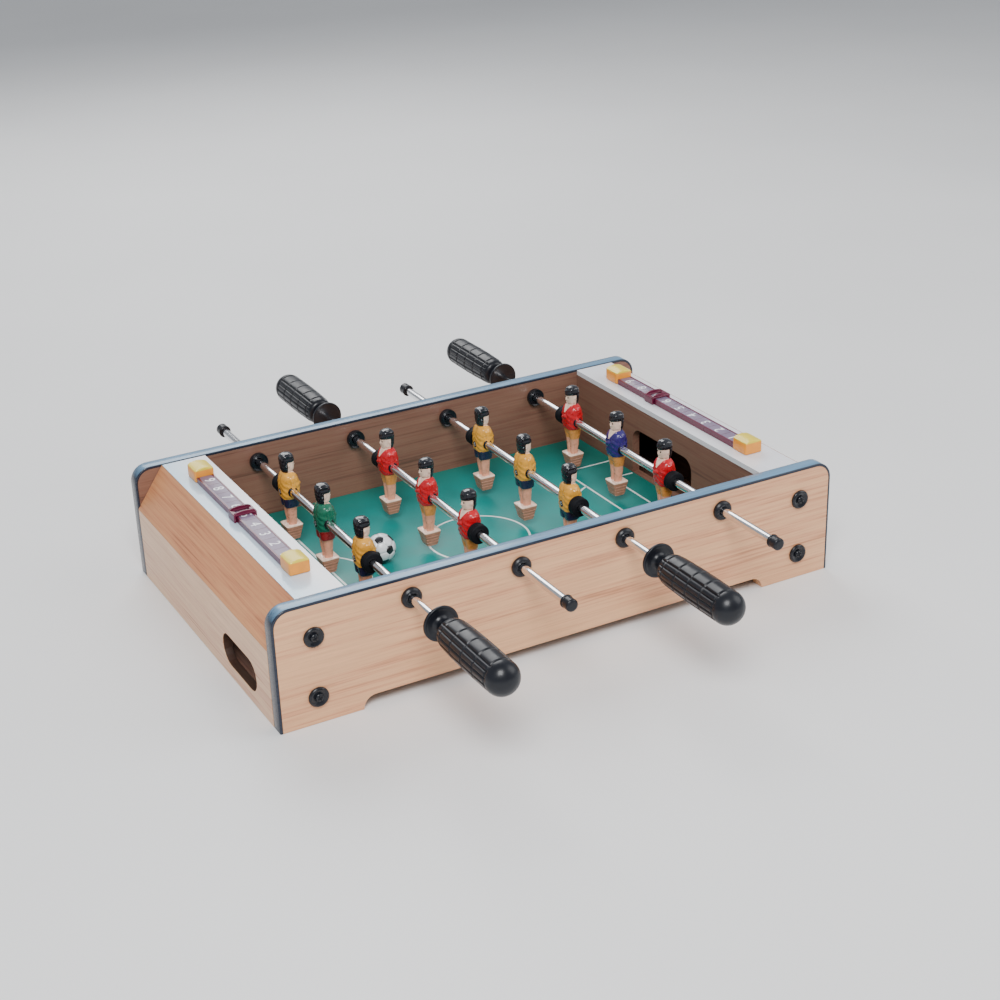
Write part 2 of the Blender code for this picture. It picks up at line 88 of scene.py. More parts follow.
def eased(keys, values, places):
    """A smooth curve through (key, value) pairs with no overshoot: cubic pieces whose slopes are the
    harmonic mean of the neighbouring chords."""
    keys = np.asarray(keys, float)
    values = np.asarray(values, float)
    chord = np.diff(values) / np.diff(keys)
    slope = np.zeros(len(keys))
    product = chord[:-1] * chord[1:]
    total = chord[:-1] + chord[1:]
    slope[1:-1] = np.where(product > 0, 2 * product / np.where(total == 0, 1, total), 0)
    slope[0], slope[-1] = chord[0], chord[-1]
    index = np.clip(np.searchsorted(keys, places) - 1, 0, len(keys) - 2)
    step = keys[index + 1] - keys[index]
    t = np.clip((places - keys[index]) / step, 0, 1)
    return ((2 * t ** 3 - 3 * t ** 2 + 1) * values[index] + (t ** 3 - 2 * t ** 2 + t) * step * slope[index]
            + (3 * t ** 2 - 2 * t ** 3) * values[index + 1] + (t ** 3 - t ** 2) * step * slope[index + 1])


def turned(along, radius, around=64):
    """A turned grid about Y: each row is a circle of the given radius at its place along Y."""
    angle = np.linspace(0, 2 * pi, around, endpoint=False)
    radius = np.asarray(radius, float)
    if radius.ndim == 1:
        radius = radius[:, None] * np.ones(around)
    along = np.asarray(along, float)[:, None] * np.ones(around)
    return np.stack([radius * np.cos(angle), along, radius * np.sin(angle)], axis=-1)


def rounded_profile(corners, bend, steps=5):
    """A line through corners with rounded bends: each corner is blended by a quadratic curve between
    the points a set distance before and after it."""
    corners = np.asarray(corners, float)
    out = [corners[:1]]
    t = np.linspace(0, 1, steps)[:, None]
    for before, corner, after in zip(corners, corners[1:], corners[2:]):
        into = corner - before
        out_of = after - corner
        reach_in = min(bend, 0.45 * np.linalg.norm(into))
        reach_out = min(bend, 0.45 * np.linalg.norm(out_of))
        start = corner - into / np.linalg.norm(into) * reach_in
        end = corner + out_of / np.linalg.norm(out_of) * reach_out
        out.append((1 - t) ** 2 * start + 2 * t * (1 - t) * corner + t ** 2 * end)
    out.append(corners[-1:])
    return np.concatenate(out)


def squared(angle, half_x, half_y, power):
    """Points of a superellipse: cosine and sine raised to a power below one, scaled by the half sizes."""
    across, along = np.cos(angle), np.sin(angle)
    return (half_x * np.sign(across) * np.abs(across) ** power,
            half_y * np.sign(along) * np.abs(along) ** power)


def loft(sections, rows=32, around=48):
    """A column through level sections (height, centre X, half X, half Y, power), eased between them."""
    table = np.asarray(sections, float)
    level = np.linspace(table[0, 0], table[-1, 0], rows)
    centre, half_x, half_y, power = [eased(table[:, 0], table[:, k], level)[:, None] for k in range(1, 5)]
    angle = np.linspace(0, 2 * pi, around, endpoint=False)[None, :]
    x, y = squared(angle, half_x, half_y, power)
    return np.stack([x + centre, y, level[:, None] * np.ones_like(x)], axis=-1)


def ball_grid(centre, size, rows=20, around=32):
    """An ellipsoid by latitude and longitude about a centre."""
    lat = np.linspace(0.02, pi - 0.02, rows)[:, None]
    lon = np.linspace(0, 2 * pi, around, endpoint=False)[None, :]
    unit = np.stack([np.sin(lat) * np.cos(lon), np.sin(lat) * np.sin(lon),
                     np.cos(lat) * np.ones_like(lon)], -1)
    return np.asarray(centre) + unit * np.asarray(size)


def quads(rows, around, start):
    """Vertex numbers of the faces of a grid that closes round its second direction."""
    i, j = np.meshgrid(np.arange(rows - 1), np.arange(around), indexing="ij")
    k = (j + 1) % around
    faces = np.stack([i * around + j, i * around + k, (i + 1) * around + k, (i + 1) * around + j], -1)
    return faces.reshape(-1, 4) + start


class Shell:
    """Gathers closed grids, each with a material number, into one mesh."""

    def __init__(self):
        self.points = []
        self.faces = []
        self.slots = []
        self.count = 0

    def add(self, grid, slot=0, ring=False):
        """A grid closed round; its two end rows are capped, or joined to each other for a ring."""
        rows, around = grid.shape[:2]
        faces = quads(rows, around, self.count).tolist()
        if ring:
            last = self.count + (rows - 1) * around
            faces += [[last + j, last + (j + 1) % around, self.count + (j + 1) % around, self.count + j]
                      for j in range(around)]
        else:
            faces.append(list(range(self.count, self.count + around))[::-1])
            faces.append(list(range(self.count + (rows - 1) * around, self.count + rows * around)))
        self.points.append(grid.reshape(-1, 3))
        self.faces += faces
        self.slots.append(np.broadcast_to(slot, len(faces)) if np.ndim(slot) == 0
                          else np.concatenate([slot.ravel(), [slot.flat[0], slot.flat[-1]]]))
        self.count += rows * around

    def build(self, name, materials, moved=lambda p: p, sharp=40.0):
        """Make the object; faces are turned outwards shell by shell."""
        mesh = bpy.data.meshes.new(name)
        mesh.from_pydata(moved(np.concatenate(self.points)), [], self.faces)
        for material in materials:
            mesh.materials.append(material)
        mesh.polygons.foreach_set("material_index", np.concatenate(self.slots).astype(np.int32))
        builder = bmesh.new()
        builder.from_mesh(mesh)
        bmesh.ops.recalc_face_normals(builder, faces=builder.faces)
        builder.to_mesh(mesh)
        builder.free()
        mesh.shade_smooth()
        mesh.set_sharp_from_angle(angle=radians(sharp))
        piece = bpy.data.objects.new(name, mesh)
        bpy.context.scene.collection.objects.link(piece)
        return piece


def on_rod(rod):
    """Moves points from a rod's own axes (handle towards -Y, figures facing +X) to the frame."""
    x, z = rod_axis(rod)
    turn = -handle_side(rod)
    return lambda p: p * np.array([turn, turn, 1.0]) + np.array([x, 0.0, z])


# ---------------------------------------------------------------- materials

class Finish:
    """A Principled material and its node helpers."""

    def __init__(self, name, roughness=0.4, metallic=0.0, coat=0.0, coat_roughness=0.1, specular=0.5):
        self.material = bpy.data.materials.new(name)
        self.material.use_nodes = True
        self.tree = self.material.node_tree
        self.shader = self.tree.nodes["Principled BSDF"]
        self.shader.inputs["Roughness"].default_value = roughness
        self.shader.inputs["Metallic"].default_value = metallic
        self.shader.inputs["Coat Weight"].default_value = coat
        self.shader.inputs["Coat Roughness"].default_value = coat_roughness
        self.shader.inputs["Specular IOR Level"].default_value = specular
        self.coords = self.tree.nodes.new("ShaderNodeTexCoord")

    def put(self, value, socket):
        """Link a socket, or set a number or colour."""
        if isinstance(value, bpy.types.NodeSocket):
            self.tree.links.new(value, socket)
        else:
            socket.default_value = value

    def mapped(self, scale, turn=(0, 0, 0)):
        """Object coordinates stretched and turned."""
        node = self.tree.nodes.new("ShaderNodeMapping")
        node.inputs["Scale"].default_value = scale
        node.inputs["Rotation"].default_value = turn
        self.tree.links.new(self.coords.outputs["Object"], node.inputs["Vector"])
        return node.outputs["Vector"]

    def noise(self, vector, scale, detail=4.0, rough=0.55, distortion=0.0):
        node = self.tree.nodes.new("ShaderNodeTexNoise")
        self.put(vector, node.inputs["Vector"])
        node.inputs["Scale"].default_value = scale
        node.inputs["Detail"].default_value = detail
        node.inputs["Roughness"].default_value = rough
        node.inputs["Distortion"].default_value = distortion
        return node.outputs["Fac"]

    def ramp(self, value, stops):
        node = self.tree.nodes.new("ShaderNodeValToRGB")
        self.put(value, node.inputs["Fac"])
        bar = node.color_ramp
        bar.elements[0].position, bar.elements[0].color = stops[0][0], (*stops[0][1], 1.0)
        bar.elements[1].position, bar.elements[1].color = stops[-1][0], (*stops[-1][1], 1.0)
        for place, colour in stops[1:-1]:
            bar.elements.new(place).color = (*colour, 1.0)
        return node.outputs["Color"]

    def math(self, operation, a, b=0.0, c=0.0):
        node = self.tree.nodes.new("ShaderNodeMath")
        node.operation = operation
        self.put(a, node.inputs[0])
        self.put(b, node.inputs[1])
        self.put(c, node.inputs[2])
        return node.outputs[0]

    def mix(self, factor, a, b, kind="MIX"):
        node = self.tree.nodes.new("ShaderNodeMix")
        node.data_type = "RGBA"
        node.blend_type = kind
        self.put(factor, node.inputs["Factor"])
        for value, socket in ((a, node.inputs[6]), (b, node.inputs[7])):
            self.put(value if isinstance(value, bpy.types.NodeSocket) else (*value, 1.0), socket)
        return node.outputs[2]

    def range(self, value, low, high, new_low, new_high):
        node = self.tree.nodes.new("ShaderNodeMapRange")
        for socket, number in zip(node.inputs[:5], (value, low, high, new_low, new_high)):
            self.put(number, socket)
        return node.outputs[0]

    def axis(self, letter):
        """One Object coordinate."""
        node = self.tree.nodes.new("ShaderNodeSeparateXYZ")
        self.tree.links.new(self.coords.outputs["Object"], node.inputs[0])
        return node.outputs[letter]

    def bump(self, height, strength, distance):
        node = self.tree.nodes.new("ShaderNodeBump")
        self.put(height, node.inputs["Height"])
        node.inputs["Strength"].default_value = strength
        node.inputs["Distance"].default_value = distance
        self.put(node.outputs["Normal"], self.shader.inputs["Normal"])

    def colour(self, value):
        self.put(value if isinstance(value, bpy.types.NodeSocket) else (*value, 1.0),
                 self.shader.inputs["Base Color"])

    def roughness(self, value):
        self.put(value, self.shader.inputs["Roughness"])


def shade(colour, factor):
    """A lighter or darker copy of a colour."""
    return tuple(min(1.0, part * factor) for part in colour)


def printed_grain(finish, light, dark, grain_axis):
    """Straight printed wood grain: noise stretched along the grain, broad streaks, fine pores and
    cathedral waves, coloured between a light and a dark tone."""
    long, short = 2.6, 150.0
    scale = (long, short, short) if grain_axis == "X" else (short, long, short)
    broad = (1.5, 20.0, 20.0) if grain_axis == "X" else (20.0, 1.5, 20.0)
    lines = finish.noise(finish.mapped(scale), 6.0, 5.0, 0.55, 0.2)
    streaks = finish.noise(finish.mapped(broad), 5.0, 3.0, 0.5, 1.2)
    pores = finish.noise(finish.mapped(tuple(4 * s for s in scale)), 8.0, 2.0, 0.5)
    both = finish.math("ADD", finish.math("MULTIPLY", lines, 0.6), finish.math("MULTIPLY", streaks, 0.4))
    rosy = tuple(part * k for part, k in zip(light, (0.95, 0.84, 0.86)))
    tone = finish.ramp(both, [(0.34, dark), (0.44, rosy), (0.52, light), (0.66, shade(light, 1.12))])
    dots = finish.range(pores, 0.60, 0.72, 0.0, 0.35)
    return finish.mix(dots, tone, shade(dark, 0.75)), lines


def light_board(name, grain_axis, look, light, streak, dark_inside=None, depth_axis="Y"):
    """Beech-print laminate; everything nearer the middle than a given depth has the dark print, and
    end boards, whose depth runs along X, have it much darker because no light reaches behind them."""
    finish = Finish(name, 0.42, coat=0.15, coat_roughness=0.3)
    tone, lines = printed_grain(finish, tuple(light), tuple(streak), grain_axis)
    if dark_inside is not None:
        streak_shade = 0.55
        low = streak_shade if depth_axis == "Y" else 0.14
        dark, _ = printed_grain(finish, shade(look.walnut, low / streak_shade), shade(look.walnut, low),
                                grain_axis)
        distance = finish.math("ABSOLUTE", finish.axis(depth_axis))
        tone = finish.mix(finish.math("LESS_THAN", distance, dark_inside), tone, dark)
    finish.colour(tone)
    finish.roughness(finish.range(lines, 0.3, 0.7, 0.48, 0.34))
    finish.bump(lines, 0.12, 0.0003)
    return finish.material


def dark_board(name, grain_axis, look):
    """Walnut-print board."""
    finish = Finish(name, 0.55, coat=0.1, coat_roughness=0.3)
    tone, lines = printed_grain(finish, tuple(look.walnut), shade(look.walnut, 0.6), grain_axis)
    finish.colour(tone)
    finish.bump(lines, 0.1, 0.0003)
    return finish.material


def pale_laminate(look):
    """Glossy pale laminate, bluer towards one end of the table, with faint clouds and fine marks."""
    finish = Finish("pale_laminate", 0.25, coat=0.3, coat_roughness=0.1)
    clouds = finish.noise(finish.mapped((9, 4, 9)), 5.0, 3.0)
    pale = finish.ramp(clouds, [(0.35, shade(look.ledge, 0.93)), (0.65, tuple(look.ledge))])
    ledge = node_box("left_ledge")
    bluer = finish.range(finish.axis("X"), ledge[0][0], ledge[1][0] - 4 * MM, 1.0, 0.0)
    finish.colour(finish.mix(bluer, pale, tuple(look.ledge_edge)))
    marks = finish.noise(finish.mapped((300, 8, 300)), 3.0, 2.0)
    finish.roughness(finish.range(marks, 0.3, 0.7, 0.16, 0.28))
    finish.bump(marks, 0.03, 0.0001)
    return finish.material


def moulded(name, colour, roughness=0.35, grain=900.0, depth=0.0001, coat=0.2, spread=0.16,
            specular=0.5):
    """Moulded plastic or rubber: slight colour drift and an orange-peel bump."""
    finish = Finish(name, roughness, coat=coat, coat_roughness=0.15, specular=specular)
    drift = finish.noise(finish.mapped((1, 1, 1)), 160.0, 3.0)
    finish.colour(finish.ramp(drift, [(0.3, shade(colour, 1 - spread)), (0.7, shade(colour, 1 + spread))]))
    peel = finish.noise(finish.mapped((1, 1, 1)), grain, 2.0)
    finish.roughness(finish.range(drift, 0.3, 0.7, roughness * 0.85, roughness * 1.2))
    finish.bump(peel, 0.25, depth)
    return finish.material


def edging_strip(look):
    """Glossy black strip: a blue sheen painted on top (painted reflection), near black down the ends and
    along both edges.
    """
    finish = Finish("edging_strip", 0.3, coat=0.3, coat_roughness=0.12, specular=0.35)
    low, high = node_box("back_edge_band")
    cloud = finish.noise(finish.mapped((6, 60, 60)), 5.0, 3.0)
    # painted reflection: the blue sheen that the lit top shows is drawn into its colour
    top = finish.ramp(cloud, [(0.35, shade(look.edging_top, 0.85)), (0.65, shade(look.edging_top, 1.15))])
    raised = finish.range(finish.axis("Z"), high[2] - 6 * MM, high[2] - 0.5 * MM, 0.0, 1.0)
    across = finish.math("ABSOLUTE", finish.axis("Y"))
    off = finish.math("ABSOLUTE", finish.math("SUBTRACT", across, (low[1] + high[1]) / 2))
    half_width = (high[1] - low[1]) / 2
    inside = finish.range(off, half_width - 0.9 * MM, half_width - 0.3 * MM, 1.0, 0.0)
    finish.colour(finish.mix(finish.math("MULTIPLY", raised, inside), tuple(look.edging), top))
    marks = finish.noise(finish.mapped((20, 400, 400)), 2.0, 2.0)
    finish.roughness(finish.range(marks, 0.3, 0.7, 0.24, 0.36))
    finish.bump(marks, 0.05, 0.0001)
    return finish.material


def block_yellow(look):
    """Moulded block: warm sides and a crown painted lighter and yellower where the light falls on it
    (painted light).
    """
    finish = Finish("yellow_moulding", 0.35, coat=0.2, coat_roughness=0.15)
    high = node_box("left_front_counter_block")[1]
    drift = finish.noise(finish.mapped((1, 1, 1)), 160.0, 3.0)
    side = finish.ramp(drift, [(0.3, shade(look.block, 0.92)), (0.7, shade(look.block, 1.08))])
    # painted light: the crown that faces the light is drawn lighter and yellower than the sides
    crown = finish.range(finish.axis("Z"), high[2] - 1.9 * MM, high[2] - 1.5 * MM, 0.0, 1.0)
    finish.colour(finish.mix(crown, side, tuple(look.block_top)))
    peel = finish.noise(finish.mapped((1, 1, 1)), 500.0, 2.0)
    finish.roughness(finish.range(drift, 0.3, 0.7, 0.3, 0.42))
    finish.bump(peel, 0.2, 0.0001)
    return finish.material


def chromed(look):
    """Polished plated steel with fine rings left by turning and faint smears."""
    finish = Finish("chromed_steel", 0.12, metallic=1.0)
    rings = finish.noise(finish.mapped((40, 900, 40)), 2.0, 2.0)
    smear = finish.noise(finish.mapped((1, 0.3, 1)), 60.0, 3.0)
    finish.colour(finish.ramp(smear, [(0.3, shade(tuple(look.steel), 0.88)), (0.7, tuple(look.steel))]))
    finish.roughness(finish.range(rings, 0.3, 0.7, 0.08, 0.2))
    finish.bump(rings, 0.05, 0.00005)
    return finish.material


def pitch_green(look):
    """Printed green board: soft mottling, a fine tooth, and painted shade darkening the print towards its
    edges.
    """
    finish = Finish("pitch_green", 0.5, specular=0.3)
    mottle = finish.noise(finish.mapped((1, 1, 1)), 45.0, 5.0)
    tooth = finish.noise(finish.mapped((1, 1, 1)), 1400.0, 2.0)
    green = tuple(look.pitch)
    print_tone = finish.ramp(mottle, [(0.32, shade(green, 0.9)), (0.68, shade(green, 1.1))])
    high = node_box("pitch_board")[1]
    # painted shade: the pitch is drawn darker towards its edges
    out_x = finish.math("POWER", finish.math("DIVIDE", finish.axis("X"), high[0]), 4.0)
    out_y = finish.math("POWER", finish.math("DIVIDE", finish.axis("Y"), high[1]), 4.0)
    painted_edge_shade = finish.math("MINIMUM", finish.math("ADD", out_x, out_y), 1.0)
    finish.colour(finish.mix(finish.math("MULTIPLY", painted_edge_shade, 0.75), print_tone, (0.004, 0.12, 0.085)))
    finish.roughness(finish.range(mottle, 0.3, 0.7, 0.36, 0.5))
    finish.bump(tooth, 0.15, 0.0001)
    return finish.material


def painted(name, colour, roughness=0.28):
    """Brushed-on enamel: pooled colour, slight ripple, glossy."""
    finish = Finish(name, roughness, coat=0.5, coat_roughness=0.08)
    pool = finish.noise(finish.mapped((1, 1, 1)), 420.0, 3.0)
    finish.colour(finish.ramp(pool, [(0.32, shade(colour, 0.82)), (0.68, shade(colour, 1.12))]))
    ripple = finish.noise(finish.mapped((1, 1, 1)), 700.0, 2.0)
    finish.roughness(finish.range(pool, 0.3, 0.7, roughness * 0.8, roughness * 1.3))
    finish.bump(ripple, 0.3, 0.00015)
    return finish.material


def ball_leather():
    """White and black panels by the ball's own panel attribute, darker at the seams."""
    finish = Finish("ball_panels", 0.3, coat=0.4, coat_roughness=0.1)
    node = finish.tree.nodes.new("ShaderNodeAttribute")
    node.attribute_name = "panel"
    part = finish.tree.nodes.new("ShaderNodeSeparateXYZ")
    finish.tree.links.new(node.outputs["Vector"], part.inputs[0])
    black = finish.range(part.outputs["X"], 0.45, 0.55, 0.0, 1.0)
    tone = finish.mix(black, (0.82, 0.82, 0.84), (0.012, 0.012, 0.015))
    seam = finish.range(part.outputs["Y"], 0.0, 0.12, 0.75, 0.0)
    finish.colour(finish.mix(seam, tone, (0.10, 0.10, 0.11)))
    pebble = finish.noise(finish.mapped((1, 1, 1)), 1500.0, 2.0)
    finish.bump(pebble, 0.2, 0.0001)
    return finish.material


_made = {}


def finish_of(key):
    """Each finish is made once."""
    look = bpy.context.scene.foosball_look
    if key not in _made:
        inside = abs(node_box("front_side_panel")[1][1]) + 0.2 * MM
        makers = {
            "side": lambda: light_board("beech_print_lengthwise", "X", look, look.beech,
                                        look.beech_streak, inside),
            "slope": lambda: light_board("cover_print", "Y", look, look.slope, look.slope_streak),
            "end": lambda: light_board("end_print", "Y", look, look.end, look.beech_streak,
                                       node_box("right_end_panel")[1][0] - 0.3 * MM, "X"),
            "dark": lambda: dark_board("walnut_print", "Y", look),
            "ledge": lambda: pale_laminate(look),
            "edging": lambda: edging_strip(look),
            "pitch": lambda: pitch_green(look),
            "lines": lambda: moulded("pitch_line_print", (0.75, 0.82, 0.78), 0.45, spread=0.06),
            "steel": lambda: chromed(look),
            "black": lambda: moulded("black_moulding", tuple(look.black), 0.34, 700.0, coat=0.12,
                                     specular=0.3),
            "rubber": lambda: moulded("black_rubber", shade(look.black, 0.7), 0.65, 1100.0, coat=0.0,
                                      specular=0.2),
            "bolt": lambda: moulded("blackened_steel", tuple(look.black), 0.28, 800.0, coat=0.15,
                                    specular=0.35),
            "block": lambda: block_yellow(look),
            "rail": lambda: moulded("maroon_moulding", tuple(look.rail), 0.3, 500.0, coat=0.2),
            "strip": lambda: moulded("violet_print", (0.20, 0.15, 0.23), 0.4, 500.0, coat=0.1, spread=0.08),
            "digit": lambda: moulded("white_print", (0.85, 0.84, 0.88), 0.35, spread=0.05),
            "skin": lambda: painted("skin_enamel", tuple(look.skin)),
            "leg": lambda: painted("leg_enamel", tuple(look.leg)),
            "foot": lambda: painted("foot_enamel", tuple(look.foot), 0.35),
            "hair": lambda: painted("hair_enamel", (0.010, 0.011, 0.016), 0.14),
            "ball": ball_leather,
        }
        shirts = {"yellow": look.yellow_shirt, "red": look.red_shirt, "green": look.green_shirt,
                  "blue": look.blue_shirt, "navy": look.navy_shorts, "tan": look.tan_shorts,
                  "crimson": look.crimson_shorts}
        _made[key] = makers[key]() if key in makers else painted(key + "_enamel", tuple(shirts[key]))
    return _made[key]


def dress(node, key):
    """Give a CAD node its finish."""
    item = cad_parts[node]
    item.data.materials.clear()
    item.data.materials.append(finish_of(key))


def settle(piece, body, slot_name, *nodes):
    """Ride and stand-in in one go; the slot name is not used."""
    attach(piece, body)
    if nodes:
        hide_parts(*nodes)
    return piece


# ---------------------------------------------------------------- sizes and colours a user may change

def tone(name, default):
    """A colour property."""
    return FloatVectorProperty(name=name, description=name + " colour", default=default, size=3,
                               subtype="COLOR", min=0.0, max=1.0)


def length(name, default):
    """A length property in metres."""
    return FloatProperty(name=name, description=name + " in metres", default=default, unit="LENGTH")


class FoosballLook(bpy.types.PropertyGroup):
    """Colours of the table's finishes."""
    beech: tone("Beech print", (0.72, 0.395, 0.205))
    beech_streak: tone("Beech streak", (0.48, 0.205, 0.095))
    slope: tone("Sloping cover print", (0.60, 0.265, 0.115))
    slope_streak: tone("Sloping cover streak", (0.34, 0.115, 0.045))
    end: tone("End panel print", (0.74, 0.46, 0.275))
    walnut: tone("Walnut print", (0.215, 0.108, 0.072))
    ledge: tone("Ledge laminate", (0.84, 0.84, 0.88))
    ledge_edge: tone("Ledge outer edge", (0.50, 0.70, 0.86))
    edging: tone("Edging strip", (0.012, 0.018, 0.034))
    # painted reflection: the blue sheen on the edging's top
    edging_top: tone("Edging top", (0.13, 0.25, 0.38))
    pitch: tone("Pitch", (0.005, 0.235, 0.215))
    steel: tone("Rod steel", (0.86, 0.86, 0.88))
    black: tone("Black moulding", (0.007, 0.008, 0.012))
    block: tone("Counter block", (0.84, 0.30, 0.02))
    # painted light: the lit top of the counter blocks
    block_top: tone("Counter block top", (0.78, 0.60, 0.04))
    rail: tone("Counter rail", (0.115, 0.005, 0.030))
    skin: tone("Skin", (0.90, 0.64, 0.50))
    leg: tone("Legs", (0.80, 0.35, 0.22))
    foot: tone("Foot block", (0.44, 0.19, 0.115))
    yellow_shirt: tone("Yellow shirt", (0.78, 0.36, 0.04))
    red_shirt: tone("Red shirt", (0.55, 0.004, 0.012))
    green_shirt: tone("Green shirt", (0.006, 0.135, 0.075))
    blue_shirt: tone("Blue shirt", (0.028, 0.016, 0.15))
    navy_shorts: tone("Navy shorts", (0.015, 0.014, 0.05))
    tan_shorts: tone("Tan shorts", (0.72, 0.28, 0.06))
    crimson_shorts: tone("Crimson shorts", (0.26, 0.012, 0.015))


class FoosballSizes(bpy.types.PropertyGroup):
    """Sizes of the fine detail."""
    line_width: length("Pitch line width", 1.3 * MM)
    circle_radius: length("Centre circle radius", 30.0 * MM)
    penalty_depth: length("Penalty box depth", 35.1 * MM)
    penalty_half: length("Penalty box half width", 54.0 * MM)
    goal_area_depth: length("Goal area depth", 15.0 * MM)
    goal_area_half: length("Goal area half width", 30.0 * MM)
    arc_radius: length("Penalty arc radius", 30.2 * MM)
    rib_count: IntProperty(name="Grip ribs", description="Lengthwise ribs round a grip", default=10)
    groove_count: IntProperty(name="Grip grooves", description="Grooves across a grip", default=5)
    groove_depth: length("Grip groove depth", 0.75 * MM)
    bolt_radius: length("Bolt washer radius", 5.6 * MM)
    bolt_low: length("Lower bolt height", 15.3 * MM)
    bolt_high: length("Upper bolt height", 49.3 * MM)
    numbers: BoolProperty(name="Numbers", description="Draw the counters' numbers", default=True)


class FoosballStage(bpy.types.PropertyGroup):
    """Camera and light."""
    azimuth: FloatProperty(name="Azimuth", description="Camera azimuth", default=radians(-28.26),
                           subtype="ANGLE")
    elevation: FloatProperty(name="Elevation", description="Camera elevation", default=radians(24.64),
                             subtype="ANGLE")
    roll: FloatProperty(name="Roll", description="Camera roll", default=radians(1.94), subtype="ANGLE")
    place: FloatVectorProperty(name="Place", description="Camera place", size=3, subtype="XYZ",
                               unit="LENGTH", default=(-0.4234, -0.8154, 0.4656))
    lens: FloatProperty(name="Lens", description="Focal length in millimetres", default=62.88)
    key_power: FloatProperty(name="Key power", description="Key light power in watts", default=27.0)


# ---------------------------------------------------------------- operators

class FOOSBALL_OT_case(bpy.types.Operator):
    """Boards of the case, and smooth edging over the side panels"""
    bl_idname = "foosball.case"
    bl_label = "Case"

    def execute(self, context):
        for node, key in (("front_side_panel", "side"), ("back_side_panel", "side"),
                          ("pitch_board", "pitch")):
            dress(node, key)
        for end, _ in ENDS:
            for part, key in (("_goal_wall", "dark"), ("_end_panel", "end"), ("_sloping_cover", "slope"),
                              ("_ledge", "ledge"), ("_ball_tray", "dark"), ("_front_corner_block", "dark"),
                              ("_back_corner_block", "dark")):
                dress(end + part, key)
        for side, _ in SIDES:
            shell = Shell()
            shell.add(edging_grid(side))
            settle(shell.build(side + "_edging", [finish_of("edging")], sharp=50.0), "table",
                   "black_edging", side + "_edge_band")
        return {"FINISHED"}


def edging_grid(side):
    """The edging's rounded flat section carried along a path up one end, round the corner, over the
    top and down the other end; the path's corners are quarter circles."""
    low, high = node_box(side + "_edge_band")
    thickness = node_box(side + "_side_panel")[0][0] - low[0] - 0.15 * MM
    radius = 10.0 * MM
    turn = np.linspace(0, pi / 2, 20)
    left = np.stack([low[0] + radius - radius * np.cos(turn), high[2] - radius + radius * np.sin(turn)], -1)
    right = left[::-1] * np.array([-1.0, 1.0])
    path = np.concatenate([[[low[0], low[2]]], left, right, [[high[0], low[2]]]])
    inward = np.concatenate([[[1.0, 0.0]], np.stack([np.cos(turn), -np.sin(turn)], -1),
                             np.stack([-np.cos(turn[::-1]), -np.sin(turn[::-1])], -1), [[-1.0, 0.0]]])
    bead = 0.45 * MM
    flat = np.array([(low[1], thickness), (low[1], bead), (low[1] + bead * 0.3, bead * 0.3),
                     (low[1] + bead, 0), (high[1] - bead, 0),
                     (high[1] - bead * 0.3, bead * 0.3), (high[1], bead),
                     (high[1], thickness)])
    x = path[:, None, 0] + inward[:, None, 0] * flat[None, :, 1]
    z = path[:, None, 1] + inward[:, None, 1] * flat[None, :, 1]
    y = np.broadcast_to(flat[None, :, 0], x.shape)
    return np.stack([x, y, z], -1)


class FOOSBALL_OT_pitch_lines(bpy.types.Operator):
    """White printed lines of the pitch"""
    bl_idname = "foosball.pitch_lines"
    bl_label = "Pitch lines"

    def execute(self, context):
        size = context.scene.foosball_sizes
        high = node_box("pitch_board")[1]
        top = high[2]
        reach, half = high[0] - 1.2 * MM, high[1] - 1.5 * MM
        shell = Shell()

        def line(points, ring=False):
            shell.add(print_grid(np.asarray(points, float), size.line_width, top), ring=ring)

        angle = np.linspace(0, 2 * pi, 96, endpoint=False)
        line(np.stack([np.cos(angle), np.sin(angle)], -1) * size.circle_radius, ring=True)
        line([(0, -half), (0, half)])
        spot = np.stack([np.cos(angle[::6]), np.sin(angle[::6])], -1) * size.line_width
        line(spot, ring=True)
        for sign in (-1, 1):
            for depth, width in ((size.penalty_depth, size.penalty_half),
                                 (size.goal_area_depth, size.goal_area_half)):
                line([(sign * reach, -width), (sign * (reach - depth), -width),
                      (sign * (reach - depth), width), (sign * reach, width)])
            open_half = 1.18
            open_angle = np.linspace(-open_half, open_half, 48)
            centre = reach - size.penalty_depth + size.arc_radius * cos(open_half)
            line(np.stack([sign * (centre - size.arc_radius * np.cos(open_angle)),
                           size.arc_radius * np.sin(open_angle)], -1))
        settle(shell.build("pitch_lines", [finish_of("lines")]), "table", "green_pitch")
        return {"FINISHED"}


def print_grid(path, width, top):
    """A flat ribbon of ink: at each path point the section is a thin rectangle across the mitred
    side direction."""
    closed = np.linalg.norm(path[0] - path[-1]) < 2.5 * np.linalg.norm(path[0] - path[1]) and len(path) > 8
    before = np.roll(path, 1, 0) if closed else np.concatenate([path[:1] * 2 - path[1:2], path[:-1]])
    after = np.roll(path, -1, 0) if closed else np.concatenate([path[1:], path[-1:] * 2 - path[-2:-1]])
    into = path - before
    into /= np.linalg.norm(into, axis=1, keepdims=True)
    out_of = after - path
    out_of /= np.linalg.norm(out_of, axis=1, keepdims=True)
    side = np.stack([-(into + out_of)[:, 1], (into + out_of)[:, 0]], -1)
    side /= np.linalg.norm(side, axis=1, keepdims=True)
    square = np.abs(np.sum(side * np.stack([-into[:, 1], into[:, 0]], -1), axis=1, keepdims=True))
    side /= square
    ink = 0.06 * MM
    section = [(-0.5, -0.02 * MM), (-0.5, ink), (0.5, ink), (0.5, -0.02 * MM)]
    rows = [np.concatenate([path + side * width * a, np.full((len(path), 1), top + b)], 1)
            for a, b in section]
    return np.stack(rows, 1)


